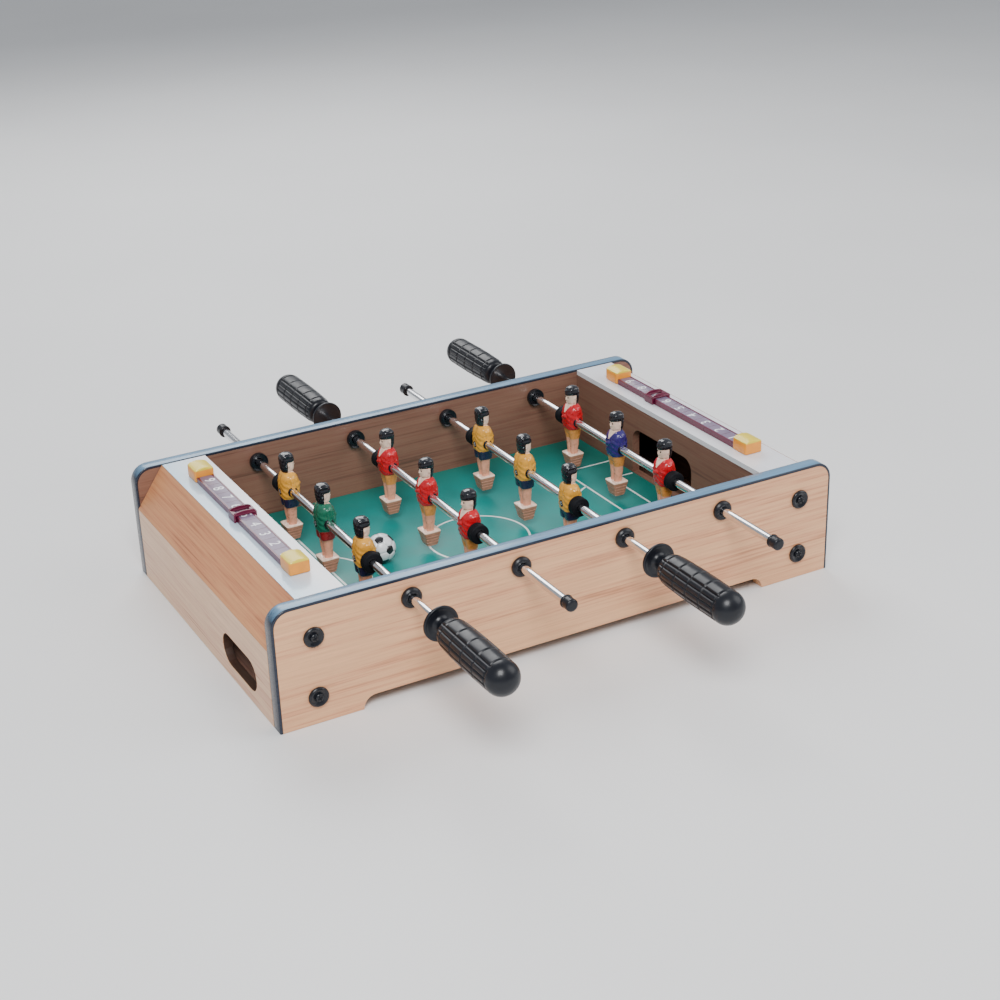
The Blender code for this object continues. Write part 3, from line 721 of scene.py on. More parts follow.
class FOOSBALL_OT_fittings(bpy.types.Operator):
    """Domed bushings in the side panels and dished washers with their case bolts"""
    bl_idname = "foosball.fittings"
    bl_label = "Bushings and bolts"

    def execute(self, context):
        for rod in RODS:
            x, z = rod_axis(rod)
            for side, sign in SIDES:
                node = rod + "_" + side + "_bushing"
                shell = Shell()
                shell.add(bushing_grid(node, sign), ring=True)
                shift = np.array([x, 0, z])
                piece = shell.build(node + "_fine", [finish_of("black")], lambda p, s=shift: p + s)
                settle(piece, "table", "black_plastic", node)
        size = context.scene.foosball_sizes
        for end, _ in ENDS:
            low, high = node_box(end + "_front_corner_block")
            x = (low[0] + high[0]) / 2
            for side, sign in SIDES:
                face = node_box(side + "_side_panel")[0 if sign < 0 else 1][1]
                for label, height in (("lower", size.bolt_low), ("upper", size.bolt_high)):
                    shell = bolt_shell(size.bolt_radius)
                    move = np.array([x, face, height])
                    flip = np.array([-sign, sign, 1.0])
                    piece = shell.build("_".join((end, side, label, "bolt")),
                                        [finish_of("bolt"), finish_of("rubber")],
                                        lambda p, m=move, f=flip: p * f + m)
                    settle(piece, "table", "black_plastic")
        return {"FINISHED"}


def bushing_grid(node, sign):
    """A flanged bush: its closed section, with rounded corners and a domed outer flange, turned
    about the rod's axis."""
    low, high = node_box(node)
    inner, outer = (high[1], low[1]) if sign < 0 else (low[1], high[1])
    panel = node_box(("front" if sign < 0 else "back") + "_side_panel")
    near, far = (panel[1][1], panel[0][1]) if sign < 0 else (panel[0][1], panel[1][1])
    radius = (high[0] - low[0]) / 2
    into = sign
    gap = 0.1 * MM
    corners = [(BUSH_BORE, (inner + outer) / 2), (BUSH_BORE, inner), (radius - 1.2 * MM, inner),
               (radius - 0.2 * MM, inner - into * 0.9 * MM), (radius - 0.2 * MM, near - into * gap),
               (3.9 * MM, near - into * gap), (3.9 * MM, far + into * gap), (radius, far + into * gap),
               (radius, outer - into * 1.1 * MM), (radius - 1.2 * MM, outer), (radius - 2.0 * MM, outer),
               (radius - 2.3 * MM, outer - into * 0.35 * MM), (BUSH_BORE, outer - into * 0.35 * MM),
               (BUSH_BORE, (inner + outer) / 2 + into * 0.01 * MM)]
    profile = rounded_profile(corners, 0.45 * MM)
    return turned(profile[:, 1], profile[:, 0], 48)


def bolt_shell(radius):
    """A dished washer and a pan-head screw, turned, with a crossed recess as two crossed bars."""
    shell = Shell()
    dish = rounded_profile([(0.3, 0.0), (0.97, 0.0), (1.0, 0.06), (0.97, 0.22), (0.80, 0.34),
                            (0.52, 0.22), (0.30, 0.16), (0.05, 0.16)], 0.06)
    shell.add(turned(dish[:, 1] * radius, dish[:, 0] * radius, 48))
    head = rounded_profile([(0.40, 0.14), (0.40, 0.30), (0.30, 0.40), (0.02, 0.44)], 0.08)
    shell.add(turned(head[:, 1] * radius, head[:, 0] * radius, 32))
    for turn in (0.4, 0.4 + pi / 2):
        bar = loft([(-0.24, 0, 0.055, 0.03, 0.3), (0.24, 0, 0.055, 0.03, 0.3)], 4, 16) * radius
        x = bar[..., 0] * cos(turn) - bar[..., 2] * sin(turn)
        z = bar[..., 0] * sin(turn) + bar[..., 2] * cos(turn)
        shell.add(np.stack([x, bar[..., 1] + 0.43 * radius, z], -1), 1)
    return shell


class FOOSBALL_OT_rods(bpy.types.Operator):
    """Steel rods, rubber bumpers, grips and end caps"""
    bl_idname = "foosball.rods"
    bl_label = "Rods"

    def execute(self, context):
        for rod in RODS:
            moved = on_rod(rod)
            spin, slide = rod + "_spin", rod + "_slide"
            low, high = node_box(rod)
            hand = handle_side(rod)
            far, near = (high[1], -low[1]) if hand < 0 else (-low[1], high[1])
            shell = Shell()
            bar = rounded_profile([(0.05 * MM, far), (ROD_RADIUS, far), (ROD_RADIUS, -near),
                                   (0.05 * MM, -near)], 0.5 * MM)
            shell.add(turned(bar[:, 1], bar[:, 0], 48))
            settle(shell.build(rod + "_steel", [finish_of("steel")], moved), spin, "chrome_rod", rod)
            figure_low, figure_high = node_box(rod + "_front_figure")
            start = max(abs(figure_low[1]), abs(figure_high[1])) + 0.3 * MM
            outer = (high[0] - low[0]) / 2
            for label, sign in (("near", -1.0), ("far", 1.0)):
                shell = Shell()
                shell.add(bumper_grid(start, sign, outer), ring=True)
                settle(shell.build(rod + "_" + label + "_bumper", [finish_of("rubber")], moved), spin,
                       "black_plastic")
            shell = grip_shell(rod, context.scene.foosball_sizes)
            settle(shell.build(rod + "_grip", [finish_of("black")], moved, 28.0), spin, "black_plastic",
                   rod + "_handle")
            shell = Shell()
            shell.add(cap_grid(rod))
            settle(shell.build(rod + "_cap", [finish_of("black")], moved), slide, "black_plastic",
                   rod + "_end_cap")
        return {"FINISHED"}


def bumper_grid(start, sign, outer):
    """A rubber ring: a rounded rectangle section with a shallow waist, turned about the rod."""
    inner, long = RING_BORE, 5.2 * MM
    corners = [(inner, 0.5 * long), (inner, 0), (outer, 0), (outer, 0.35 * long),
               (outer - 0.25 * MM, 0.5 * long), (outer, 0.65 * long), (outer, long),
               (inner, long), (inner, 0.51 * long)]
    profile = rounded_profile(corners, 0.8 * MM)
    return turned(sign * (start + profile[:, 1]), profile[:, 0], 48)


def cap_grid(rod):
    """A plastic cap with a rounded end, a shoulder and a small lip at its mouth."""
    low, high = node_box(rod + "_end_cap")
    near = min(abs(low[1]), abs(high[1]))
    far = max(abs(low[1]), abs(high[1]))
    radius = (high[0] - low[0]) / 2
    corners = [(SNUG_BORE, near + 0.4 * MM), (2.5 * MM, near), (radius, near), (radius, near + 1.2 * MM),
               (radius - 0.35 * MM, near + 1.5 * MM), (radius - 0.2 * MM, far - 0.8 * MM),
               (radius - 1.3 * MM, far), (0.05 * MM, far)]
    profile = rounded_profile(corners, 0.5 * MM)
    return turned(profile[:, 1], profile[:, 0], 40)


def grip_shell(rod, size):
    """Flange, neck and barrel: the barrel's radius is an eased profile less lengthwise grooves, narrow
    bells of the angle to each groove, and less grooves across, narrow bells along it. The lengthwise
    grooves leave one broad face above and one below, and all fade out before the domed end."""
    low, high = node_box(rod + "_handle")
    near = min(abs(low[1]), abs(high[1]))
    far = max(abs(low[1]), abs(high[1]))
    flange = (high[0] - low[0]) / 2
    corners = [(SNUG_BORE, near + 0.6 * MM), (4.0 * MM, near + 0.6 * MM), (flange - 1.4 * MM, near),
               (flange, near), (flange, near + 1.7 * MM), (flange - 1.2 * MM, near + 1.9 * MM),
               (flange - 2.2 * MM, near + 1.5 * MM), (5.0 * MM, near + 1.5 * MM),
               (3.5 * MM, near + 3.0 * MM), (3.3 * MM, near + 10.6 * MM)]
    profile = rounded_profile(corners, 0.7 * MM)
    shell = Shell()
    shell.add(turned(-profile[:, 1], profile[:, 0], 64))
    start = near + 9.4 * MM
    s = np.linspace(0, 1, 230)
    along = start + (far - start) * s
    dome = 8.6 * MM
    keys = [0, 0.004, 0.02, 0.05, 0.12, 0.5, 1 - dome / (far - start)]
    radius = eased(keys, np.array([3.2, 5.6, 7.3, 8.2, 8.8, 9.3, 9.1]) * MM, np.minimum(s, keys[-1]))
    past = np.clip((s - keys[-1]) / (1 - keys[-1]), 0, 1)
    radius = np.maximum(radius * np.sqrt(np.maximum(1 - past ** 2.1, 0)), 0.05 * MM)
    angle = np.linspace(0, 2 * pi, 240, endpoint=False)
    body = np.clip((s - 0.035) / 0.02, 0, 1) * np.clip((0.865 - s) / 0.02, 0, 1)
    broad = radians(36)
    spots = np.linspace(broad, pi - broad, size.rib_count // 2 + 1)
    spots = np.concatenate([pi / 2 - spots, pi / 2 + spots])
    apart = np.abs(np.angle(np.exp(1j * (angle[None, :] - spots[:, None]))))
    valley = np.exp(-(apart / 0.055) ** 2).max(0)
    places = np.linspace(0.10, 0.84, size.groove_count)
    across = np.exp(-((s[:, None] - places[None, :]) / 0.0068) ** 2).sum(1)
    cut = np.maximum(valley[None, :] * body[:, None], across[:, None] * np.ones_like(angle))
    shell.add(turned(-along, radius[:, None] - size.groove_depth * cut, 240))
    return shell


class FOOSBALL_OT_figures(bpy.types.Operator):
    """Twelve painted figures in four strips"""
    bl_idname = "foosball.figures"
    bl_label = "Figures"

    def execute(self, context):
        for number, rod in enumerate(RODS):
            moved = on_rod(rod)
            for label in ("front", "middle", "back"):
                node = rod + "_" + label + "_figure"
                low, high = node_box(node)
                hand = handle_side(rod)
                along = -hand * (low[1] + high[1]) / 2
                shirt, shorts, slot_name = ("red", "tan", "red_figure") if number % 2 else \
                    ("yellow", "navy", "yellow_figure")
                if label == "middle" and number == 0:
                    shirt, shorts, slot_name = "green", "crimson", "green_figure"
                if label == "middle" and number == 3:
                    shirt, shorts, slot_name = "blue", "tan", "blue_figure"
                kit = [finish_of(k) for k in ("skin", "hair", shirt, shorts, "leg", "foot", "black",
                                              "digit")]
                shell = figure_shell(shorts == "tan")
                shift = np.array([0.0, along, 0.0])
                piece = shell.build(node + "_painted", kit, lambda p, s=shift, m=moved: m(p * MM + s), 50.0)
                settle(piece, rod + "_spin", slot_name, node)
        return {"FINISHED"}


SKIN, HAIR, SHIRT, SHORTS, LEG, FOOT, DARK, GLINT_WHITE = range(8)


def figure_shell(slim):
    """One figure in millimetres about the rod's axis: lofted foot block, legs, shorts and shirt, and a
    head with painted hair; slim shorts follow the legs, the others flare over them."""
    shell = Shell()
    foot = loft([(-31.0, 0, 2.9, 3.6, 0.25), (-30.6, 0, 3.3, 4.0, 0.2), (-26.5, 0, 4.25, 4.75, 0.2),
                 (-22.9, 0, 5.1, 5.35, 0.2), (-22.3, 0, 5.1, 5.35, 0.2)], 90, 64)
    level = foot[:, :1, 2]
    steps = np.exp(-((np.mod(level + 31.0, 1.9) - 0.95) / 0.22) ** 2) * (level < -23.2)
    foot[..., :2] *= 1 - 0.07 * steps[..., None]
    shell.add(foot, FOOT)
    shell.add(loft([(-22.5, 0, 5.0, 5.3, 0.2), (-22.2, 0, 5.25, 5.45, 0.2), (-21.9, 0, 5.2, 5.4, 0.2),
                    (-21.7, 0, 4.9, 5.1, 0.25)], 12, 64), SKIN)
    for side in (-1.0, 1.0):
        leg = loft([(-22.0, 0.1, 2.5, 1.75, 0.8), (-20.5, 0.2, 2.35, 1.65, 0.8),
                    (-15.5, -0.05, 2.8, 1.95, 0.8), (-12.2, 0, 3.0, 2.1, 0.8), (-11.6, 0, 3.1, 2.2, 0.75),
                    (-9.0, 0, 3.6, 2.5, 0.7), (-3.5, 0, 4.4, 2.8, 0.7)], 60, 32)
        leg[..., 1] += side * (1.75 + 0.035 * (leg[..., 2] + 22))
        rows = np.where(leg[:-1, :, 2] > -11.9, SHORTS, LEG) if slim else np.full(leg[:-1, :, 2].shape, LEG)
        shell.add(leg, rows)
        if not slim:
            trouser = loft([(-10.4, 0, 3.7, 2.4, 0.75), (-10.0, 0, 4.1, 2.8, 0.7), (-7.0, 0, 4.4, 3.0, 0.7),
                            (-3.0, 0, 4.6, 3.1, 0.7)], 20, 32)
            trouser[..., 1] += side * 2.45
            shell.add(trouser, SHORTS)
    shell.add(loft([(-8.0, 0, 3.6, 4.0, 0.7), (-7.0, 0, 4.1, 4.8, 0.7), (-3.0, 0, 4.5, 5.3, 0.7)], 10, 48),
              SHORTS)
    shirt = loft([(-5.0, 0, 4.4, 5.2, 0.7), (-4.7, 0, 5.0, 5.8, 0.7), (-1.5, 0.1, 5.6, 6.3, 0.72),
                  (3.5, 0.2, 5.7, 6.4, 0.72), (7.0, 0.1, 5.1, 6.4, 0.75), (9.2, -0.1, 4.1, 5.9, 0.8),
                  (10.4, -0.2, 3.4, 4.4, 0.9), (11.0, -0.2, 2.8, 3.0, 1.0)], 110, 140)
    shirt = fold_arms(shirt)
    shell.add(shirt, shirt_slots(shirt))
    # painted shade: a dark collar ring at each side of the torso, where shade gathers round the rod's entry
    for side in (-1.0, 1.0):
        ring = rounded_profile([(2.3, 6.0), (3.0, 6.0), (3.0, 6.8), (2.3, 6.85)], 0.2)
        shell.add(turned(side * ring[:, 1], ring[:, 0], 32), DARK)
    add_head(shell)
    return shell


def fold_arms(shirt):
    """Push the shirt out along each arm: a bell of the distance to a path from shoulder to elbow and
    forward to the hands; add a raised lapel along the throat's V, and diagonal creases."""
    t = np.linspace(0, 1, 14)[:, None]
    offset = np.zeros(shirt.shape[:2])
    for side, high in ((-1.0, 0.6), (1.0, -0.6)):
        shoulder, elbow, hand = (np.array(p) for p in ((0.2, side * 6.2, 7.6), (0.6, side * 6.5, 1.2),
                                                       (5.6, -side * 1.2, 3.4 + high)))
        path = np.concatenate([shoulder + (elbow - shoulder) * t, elbow + (hand - elbow) * t])
        gap = np.linalg.norm(shirt[:, :, None, :] - path[None, None], axis=-1).min(-1)
        offset = np.maximum(offset, np.exp(-(gap / 1.15) ** 4))
    x, y, z = shirt[..., 0], shirt[..., 1], shirt[..., 2]
    edge = np.abs(y) - (z - 5.6) * 0.55
    lapel = np.exp(-((edge - 0.45) / 0.4) ** 2) * np.clip((z - 4.9) / 1.0, 0, 1) * (x > 0.5)
    crease = 0.14 * np.sin(z * 1.9 + np.abs(y) * 1.3) * np.clip((7.5 - z) / 3, 0, 1)
    spine = -0.35 * np.exp(-(y / 0.9) ** 2) * (x < 0) * np.clip((z + 1) / 4, 0, 1)
    room = np.maximum(6.85 - np.abs(y), 0)
    out = shirt * np.array([1.0, 1.0, 0.0])
    out /= np.maximum(np.linalg.norm(out, axis=-1, keepdims=True), 1e-6)
    raised = 0.8 * offset + 0.3 * lapel + crease + spine
    push = np.stack([raised, np.minimum(raised, room), 0 * raised], -1)
    return shirt + out * push


def shirt_slots(shirt):
    """Material number of each shirt face: an open V of skin at the throat and a dark badge low on the back,
    with a light mark on it that is a painted highlight, the badge's white glint."""
    middle = (shirt[:-1] + shirt[1:]) / 2
    middle = (middle + np.roll(middle, -1, axis=1)) / 2
    x, y, z = middle[..., 0], middle[..., 1], middle[..., 2]
    slots = np.full(x.shape, SHIRT)
    slots[(x > 0) & (z > 5.6) & (np.abs(y) < (z - 5.6) * 0.55)] = SKIN
    patch = ((y / 1.9) ** 2 + ((z + 0.6) / 1.9) ** 2) < 1
    slots[(x < 0) & patch] = DARK
    # painted highlight: a white glint drawn on the dark badge
    glint_mark = (np.abs(((y / 1.0) ** 2 + ((z + 0.6) / 1.1) ** 2) - 0.7) < 0.32) & (x < 0)
    slots[glint_mark & (y + z > -1.6)] = GLINT_WHITE
    return slots


def add_head(shell):
    """Neck and head as one loft of rounded-box levels with a nose, sockets and chin; hair is the part
    above the brow and behind the ears, swollen outwards with shallow combed waves."""
    head = loft([(9.4, -0.2, 2.7, 2.8, 0.9), (11.5, -0.2, 2.9, 2.95, 0.85), (12.2, 0.1, 3.45, 3.2, 0.8),
                 (14.4, 0.1, 3.85, 3.4, 0.76), (18.0, 0.0, 4.0, 3.6, 0.74), (20.4, -0.1, 3.75, 3.4, 0.76),
                 (21.8, -0.15, 2.7, 2.5, 0.85), (22.3, -0.15, 1.2, 1.1, 1.0)], 150, 150)
    x, y, z = head[..., 0], head[..., 1], head[..., 2]
    front = np.clip(x / 3.0, 0, 1)
    nose = 0.75 * np.exp(-((y / 0.62) ** 2 + ((z - 14.5) / 0.75) ** 2)) * front
    bridge = 0.35 * np.exp(-((y / 0.5) ** 2 + ((z - 15.6) / 0.8) ** 2)) * front
    socket = 0.28 * np.exp(-(((np.abs(y) - 1.35) / 0.75) ** 2 + ((z - 15.7) / 0.6) ** 2)) * front
    chin = 0.3 * np.exp(-((y / 1.2) ** 2 + ((z - 12.3) / 0.6) ** 2)) * front
    brow_line = 17.1 - 0.25 * np.cos(y * 1.1)
    over = np.clip((z - brow_line) / 0.35 + 0.5, 0, 1)
    behind = np.clip((-0.7 - x) / 0.35 + 0.5, 0, 1) * np.clip((z - 11.0) / 0.3 + 0.5, 0, 1)
    hair = np.maximum(over, behind)
    comb = 0.09 * np.sin(4.2 * y + 1.3 * z) + 0.06 * np.sin(2.6 * z - 1.1 * y)
    ears = 0.5 * np.exp(-(((x + 0.1) / 0.6) ** 2 + ((z - 15.0) / 0.95) ** 2)) * (1 - hair)
    out = head * np.array([1.0, 1.0, 0.0])
    out /= np.maximum(np.linalg.norm(out, axis=-1, keepdims=True), 1e-6)
    raised = hair * (0.24 + comb) + (nose + bridge - socket + chin) * (1 - hair) + ears
    head = head + out * raised[..., None]
    slot = np.where((hair[:-1] + hair[1:]) / 2 > 0.5, HAIR, SKIN)
    shell.add(head, slot)
    for side in (-1.0, 1.0):
        shell.add(ball_grid((3.72, side * 1.35, 15.75), (0.35, 0.50, 0.42), 12, 18), DARK)
    shell.add(ball_grid((3.62, 0, 13.1), (0.28, 0.85, 0.16), 8, 16), LEG)


class FOOSBALL_OT_counters(bpy.types.Operator):
    """Goal counters: crowned end blocks, number rails and sliders"""
    bl_idname = "foosball.counters"
    bl_label = "Goal counters"

    def execute(self, context):
        for end, sign in ENDS:
            for side, _ in SIDES:
                node = "_".join((end, side, "counter_block"))
                shell = Shell()
                shell.add(crowned_block(node))
                settle(shell.build(node + "_crowned", [finish_of("block")], sharp=30.0), "table",
                       "yellow_plastic", node)
            dress(end + "_counter_rail", "rail")
            shell = Shell()
            add_rail_detail(shell, end)
            piece = shell.build(end + "_number_rail", [finish_of("rail"), finish_of("strip")])
            settle(piece, "table", "maroon_plastic")
            if context.scene.foosball_sizes.numbers:
                add_numbers(end, sign)
            shell = Shell()
            add_slider(shell, end)
            piece = shell.build(end + "_slider_window", [finish_of("rail")], sharp=35.0)
            settle(piece, end + "_counter", "maroon_plastic", end + "_counter_slider")
        return {"FINISHED"}


def crowned_block(node):
    """A rounded box: level superellipse sections that pull in at the bottom and top edges, with the top
    row lifted into a shallow crown across X."""
    low, high = node_box(node)
    half = (high - low) / 2
    centre = (high + low) / 2
    rise = 1.5 * MM
    rows = [(low[2], 0.96), (low[2] + 0.4 * MM, 1.0), (high[2] - rise - 0.5 * MM, 1.0),
            (high[2] - rise, 0.95), (high[2] - rise, 0.7), (high[2] - rise, 0.35), (high[2] - rise, 0.02)]
    angle = np.linspace(0, 2 * pi, 96, endpoint=False)
    grids = []
    for index, (level, scale) in enumerate(rows):
        x, y = squared(angle, half[0] * scale, half[1] * scale, 0.16)
        crown = rise * (1 - (x / half[0]) ** 2) if index > 1 else 0 * x
        grids.append(np.stack([x + centre[0], y + centre[1], level + crown], -1))
    return np.stack(grids)


def box_grid(low, high, ease):
    """A small box with eased edges as a loft of squared sections."""
    low, high = np.asarray(low), np.asarray(high)
    half = (high - low) / 2
    centre = (high + low) / 2
    angle = np.linspace(0, 2 * pi, 48, endpoint=False)
    rows = [(low[2], ease), (low[2] + ease, 0.0), (high[2] - ease, 0.0), (high[2], ease)]
    grids = []
    for level, inset in rows:
        x, y = squared(angle, half[0] - inset, half[1] - inset, 0.12)
        grids.append(np.stack([x + centre[0], y + centre[1], np.full_like(x, level)], -1))
    return np.stack(grids)


def add_rail_detail(shell, end):
    """Two raised lips along the rail and the printed number strip between them."""
    low, high = node_box(end + "_counter_rail")
    lip = 1.1 * MM
    top = high[2]
    for x in (low[0], high[0] - lip):
        shell.add(box_grid((x, low[1], top - 0.2 * MM), (x + lip, high[1], top + 0.25 * MM), 0.1 * MM))
    shell.add(box_grid((low[0] + lip, low[1], top - 0.1 * MM), (high[0] - lip, high[1], top + 0.1 * MM),
                       0.02 * MM), 1)
    step = (high[1] - low[1]) / NUMBER_COUNT
    for k in range(1, NUMBER_COUNT):
        y = low[1] + k * step
        shell.add(box_grid((low[0] + 1.6 * MM, y - 0.1 * MM, top + 0.05 * MM),
                           (high[0] - 1.6 * MM, y + 0.1 * MM, top + 0.16 * MM), 0.02 * MM))


def add_numbers(end, sign):
    """Numbers one to nine along the strip, each a text outline made a mesh."""
    low, high = node_box(end + "_counter_rail")
    step = (high[1] - low[1]) / NUMBER_COUNT
    centre = (low[0] + high[0]) / 2
    points, faces, count = [], [], 0
    for number in range(1, NUMBER_COUNT + 1):
        curve = bpy.data.curves.new("number", "FONT")
        curve.body = str(number)
        curve.size = 8.6 * MM
        curve.extrude = 0.05 * MM
        curve.align_x = "CENTER"
        curve.align_y = "CENTER"
        drawing = bpy.data.objects.new("number", curve)
        bpy.context.scene.collection.objects.link(drawing)
        depsgraph = bpy.context.evaluated_depsgraph_get()
        mesh = bpy.data.meshes.new_from_object(drawing.evaluated_get(depsgraph))
        bpy.data.objects.remove(drawing, do_unlink=True)
        place = np.empty(len(mesh.vertices) * 3)
        mesh.vertices.foreach_get("co", place)
        place = place.reshape(-1, 3)
        along = low[1] + (number - 0.5) * step
        turned_place = np.stack([centre - sign * place[:, 1], along + sign * place[:, 0],
                                 high[2] + 0.14 * MM + place[:, 2]], -1)
        points.append(turned_place)
        faces += [[v + count for v in polygon.vertices] for polygon in mesh.polygons]
        count += len(place)
    mesh = bpy.data.meshes.new(end + "_numbers")
    mesh.from_pydata(np.concatenate(points), [], faces)
    builder = bmesh.new()
    builder.from_mesh(mesh)
    bmesh.ops.remove_doubles(builder, verts=builder.verts, dist=0.00001)
    bmesh.ops.recalc_face_normals(builder, faces=builder.faces)
    builder.to_mesh(mesh)
    builder.free()
    mesh.materials.append(finish_of("digit"))
    piece = bpy.data.objects.new(end + "_numbers", mesh)
    bpy.context.scene.collection.objects.link(piece)
    settle(piece, "table", "maroon_plastic")


def add_slider(shell, end):
    """A saddle over the rail: two skirts, two cross bars with arched lips standing on them, and side
    bars that leave a window over one number."""
    low, high = node_box(end + "_counter_slider")
    middle = (low + high) / 2
    wall = 1.25 * MM
    deck = high[2] - 2.5 * MM
    top = deck + 1.0 * MM
    for x in (low[0], high[0] - wall):
        shell.add(box_grid((x, low[1], low[2]), (x + wall, high[1], top), 0.2 * MM))
    window = 2.6 * MM
    bar_top = top - 0.1 * MM
    for y0, y1 in ((low[1], middle[1] - window), (middle[1] + window, high[1])):
        shell.add(box_grid((low[0] + 0.3 * MM, y0, deck), (high[0] - 0.3 * MM, y1, bar_top), 0.2 * MM))
    for x0, x1 in ((low[0] + 0.4 * MM, low[0] + 2.6 * MM), (high[0] - 2.6 * MM, high[0] - 0.4 * MM)):
        shell.add(box_grid((x0, middle[1] - window - 0.3 * MM, deck),
                           (x1, middle[1] + window + 0.3 * MM, bar_top), 0.2 * MM))
    half = (high[0] - low[0]) / 2 - 0.3 * MM
    for y0, y1 in ((low[1] + 0.3 * MM, middle[1] - window - 0.3 * MM),
                   (middle[1] + window + 0.3 * MM, high[1] - 0.3 * MM)):
        shell.add(arched_lip(middle[0], half, y0, y1, deck + 0.3 * MM, high[2]))


def arched_lip(centre, half, y0, y1, base, top):
    """A standing plate with an arched top: its outline is half a flattened ellipse closed by a straight
    foot, carried along Y and pulled in slightly at both faces."""
    arch = np.linspace(0, pi, 40)
    foot = np.linspace(-1, 1, 12)[1:-1]
    x = np.concatenate([half * np.cos(arch), half * foot])
    z = np.concatenate([(top - base) * np.sin(arch) ** 0.7, 0 * foot])
    mid = (top - base) / 2
    ease = 0.25 * MM
    rows = []
    for y, inset in ((y0, ease), (y0 + ease * 0.3, ease * 0.3), (y0 + ease, 0.0), (y1 - ease, 0.0),
                     (y1 - ease * 0.3, ease * 0.3), (y1, ease)):
        shrink_x, shrink_z = 1 - inset / half, 1 - inset / mid
        rows.append(np.stack([centre + x * shrink_x, np.full_like(x, y),
                              base + mid + (z - mid) * shrink_z], -1))
    return np.stack(rows)


SIX_WEIGHT = 0.684   # how far the six-sided panels reach towards the five-sided ones
FIVE_EDGE = 0.05     # the difference of the two angles at which a black panel ends


class FOOSBALL_OT_ball(bpy.types.Operator):
    """The ball with its black and white panels"""
    bl_idname = "foosball.ball"
    bl_label = "Ball"

    def execute(self, context):
        low, high = node_box("ball")
        centre, radius = (low + high) / 2, (high[2] - low[2]) / 2
        unit = ball_grid((0, 0, 0), (1, 1, 1), 150, 260)
        unit /= np.linalg.norm(unit, axis=-1, keepdims=True)
        fives, sixes = panel_centres()
        reach_five = (unit @ fives.T).max(-1)
        near_six = np.sort(unit @ sixes.T, axis=-1)
        to_five = np.arccos(np.clip(reach_five, -1, 1))
        to_six = np.arccos(np.clip(near_six[..., -1], -1, 1))
        black = to_five - SIX_WEIGHT * to_six
        between_sixes = near_six[..., -1] - near_six[..., -2] + (black < FIVE_EDGE) * 1.0
        edge = np.minimum(np.abs(black - FIVE_EDGE), between_sixes)
        seam = np.clip(edge / 0.16, 0, 1)
        shell = Shell()
        shell.add(centre + unit * (radius * (1 - 0.035 * np.exp(-(seam / 0.35) ** 2)))[..., None])
        piece = shell.build("ball_panelled", [finish_of("ball")], sharp=60.0)
        panel = piece.data.attributes.new("panel", "FLOAT_VECTOR", "POINT")
        values = np.stack([0.5 - 6 * (black - FIVE_EDGE), seam, 0 * seam], -1)
        panel.data.foreach_set("vector", values.reshape(-1).astype(np.float32))
        settle(piece, "ball", "ball_plastic", "ball")
        return {"FINISHED"}


def panel_centres():
    """Directions of a football's twelve five-sided and twenty six-sided panels: an icosahedron's corners
    and the middles of its faces, tipped so a black panel faces the near side."""
    golden = (1 + 5 ** 0.5) / 2
    corners = []
    for a in (-1, 1):
        for b in (-golden, golden):
            corners += [(0, a, b), (a, b, 0), (b, 0, a)]
    fives = np.array(corners, float)
    fives /= np.linalg.norm(fives, axis=1, keepdims=True)
    dots = fives @ fives.T
    near = dots > 0.4
    sixes = []
    for i in range(12):
        for j in range(i + 1, 12):
            for k in range(j + 1, 12):
                if near[i, j] and near[j, k] and near[i, k]:
                    sixes.append(fives[i] + fives[j] + fives[k])
    sixes = np.array(sixes)
    sixes /= np.linalg.norm(sixes, axis=1, keepdims=True)
    tip = np.array(Matrix.Rotation(0.9, 3, "X") @ Matrix.Rotation(0.55, 3, "Z"))
    return fives @ tip.T, sixes @ tip.T


FLOOR_REACH = 12.0
FLOOR_LEVEL = -0.2 * MM


class FOOSBALL_OT_stage(bpy.types.Operator):
    """Pale floor, soft lights and the camera"""
    bl_idname = "foosball.stage"
    bl_label = "Stage"

    def execute(self, context):
        stage = context.scene.foosball_stage
        mesh = bpy.data.meshes.new("floor")
        corners = [(x * FLOOR_REACH, y * FLOOR_REACH, FLOOR_LEVEL)
                   for x, y in ((-1, -1), (1, -1), (1, 1), (-1, 1))]
        mesh.from_pydata(corners, [], [(0, 1, 2, 3)])
        floor = bpy.data.objects.new("floor", mesh)
        context.scene.collection.objects.link(floor)
        finish = Finish("pale_floor", 0.6)
        cloud = finish.noise(finish.mapped((1, 1, 1)), 3.0, 2.0)
        finish.colour(finish.ramp(cloud, [(0.3, (0.78, 0.78, 0.78)), (0.7, (0.82, 0.82, 0.82))]))
        mesh.materials.append(finish.material)
        world = bpy.data.worlds.new("studio")
        world.use_nodes = True
        world.node_tree.nodes["Background"].inputs[0].default_value = (0.86, 0.90, 0.96, 1.0)
        world.node_tree.nodes["Background"].inputs[1].default_value = 0.48
        context.scene.world = world
        for name, place, size, power in (("key_light", (-0.55, -1.0, 1.25), 0.7, stage.key_power),
                                         ("fill_light", (1.1, -0.6, 0.9), 1.0, stage.key_power * 0.35),
                                         ("back_light", (0.2, 1.1, 1.0), 0.9, stage.key_power * 0.5)):
            light = bpy.data.lights.new(name, "AREA")
            light.size = size
            light.energy = power
            lamp = bpy.data.objects.new(name, light)
            lamp.location = place
            lamp.rotation_euler = (Vector((0, 0, 0.03)) - Vector(place)).to_track_quat("-Z", "Y").to_euler()
            context.scene.collection.objects.link(lamp)
        set_camera(context, stage)
        return {"FINISHED"}


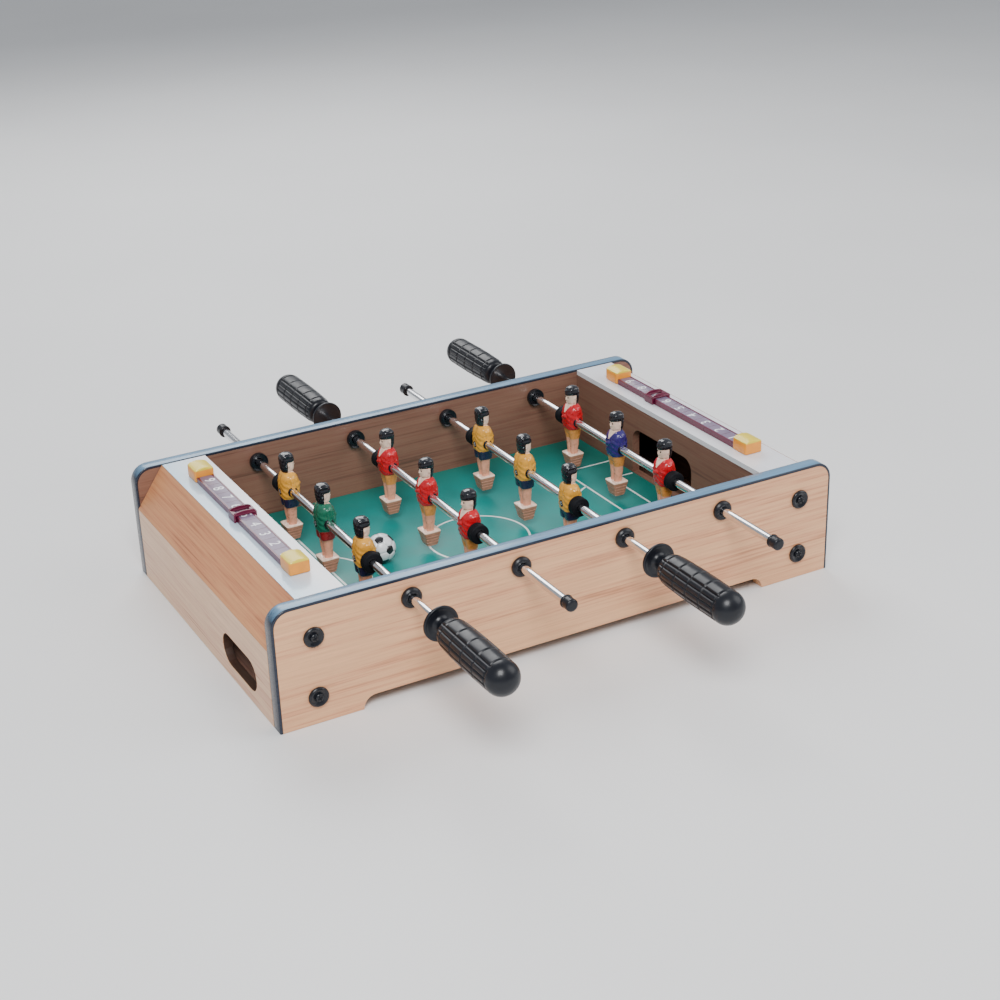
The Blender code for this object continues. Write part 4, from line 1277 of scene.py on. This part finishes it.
def set_camera(context, stage):
    """The camera at its place, turned by azimuth and elevation and then rolled about its own axis."""
    az, el, roll = stage.azimuth, stage.elevation, stage.roll
    back = Vector((sin(az) * cos(el), -cos(az) * cos(el), sin(el)))
    right = Vector((0, 0, 1)).cross(back).normalized()
    up = back.cross(right)
    tilted_right = right * cos(roll) - up * sin(roll)
    tilted_up = right * sin(roll) + up * cos(roll)
    data = bpy.data.cameras.new("camera")
    data.lens = stage.lens
    data.sensor_width = 36.0
    data.clip_start = 0.01
    camera = bpy.data.objects.new("camera", data)
    turn = Matrix((tilted_right, tilted_up, back)).transposed().to_4x4()
    camera.matrix_world = Matrix.Translation(stage.place) @ turn
    context.scene.collection.objects.link(camera)
    context.scene.camera = camera


class FOOSBALL_PT_panel(bpy.types.Panel):
    """Lists the pieces and their settings"""
    bl_idname = "FOOSBALL_PT_panel"
    bl_label = "Tabletop foosball"
    bl_space_type = "VIEW_3D"
    bl_region_type = "UI"
    bl_category = "Foosball"

    def draw(self, context):
        for operator in OPERATORS:
            self.layout.operator(operator.bl_idname)
        scene = context.scene
        for group in (scene.foosball_look, scene.foosball_sizes, scene.foosball_stage):
            box = self.layout.box()
            for name in group.__annotations__:
                box.prop(group, name)


OPERATORS = (FOOSBALL_OT_case, FOOSBALL_OT_pitch_lines, FOOSBALL_OT_fittings, FOOSBALL_OT_rods,
             FOOSBALL_OT_figures, FOOSBALL_OT_counters, FOOSBALL_OT_ball, FOOSBALL_OT_stage)
GROUPS = (("foosball_look", FoosballLook), ("foosball_sizes", FoosballSizes),
          ("foosball_stage", FoosballStage))


def register():
    """Register the classes and the scene's property groups."""
    for name, group in GROUPS:
        bpy.utils.register_class(group)
        setattr(bpy.types.Scene, name, PointerProperty(type=group))
    for item in OPERATORS + (FOOSBALL_PT_panel,):
        bpy.utils.register_class(item)


def unregister():
    """Undo register."""
    for item in (FOOSBALL_PT_panel,) + OPERATORS[::-1]:
        bpy.utils.unregister_class(item)
    for name, group in GROUPS[::-1]:
        delattr(bpy.types.Scene, name)
        bpy.utils.unregister_class(group)


def main():
    """Make every piece."""
    register()
    bpy.ops.foosball.case()
    bpy.ops.foosball.pitch_lines()
    bpy.ops.foosball.fittings()
    bpy.ops.foosball.rods()
    bpy.ops.foosball.figures()
    bpy.ops.foosball.counters()
    bpy.ops.foosball.ball()
    bpy.ops.foosball.stage()


if __name__ == "__main__":
    main()
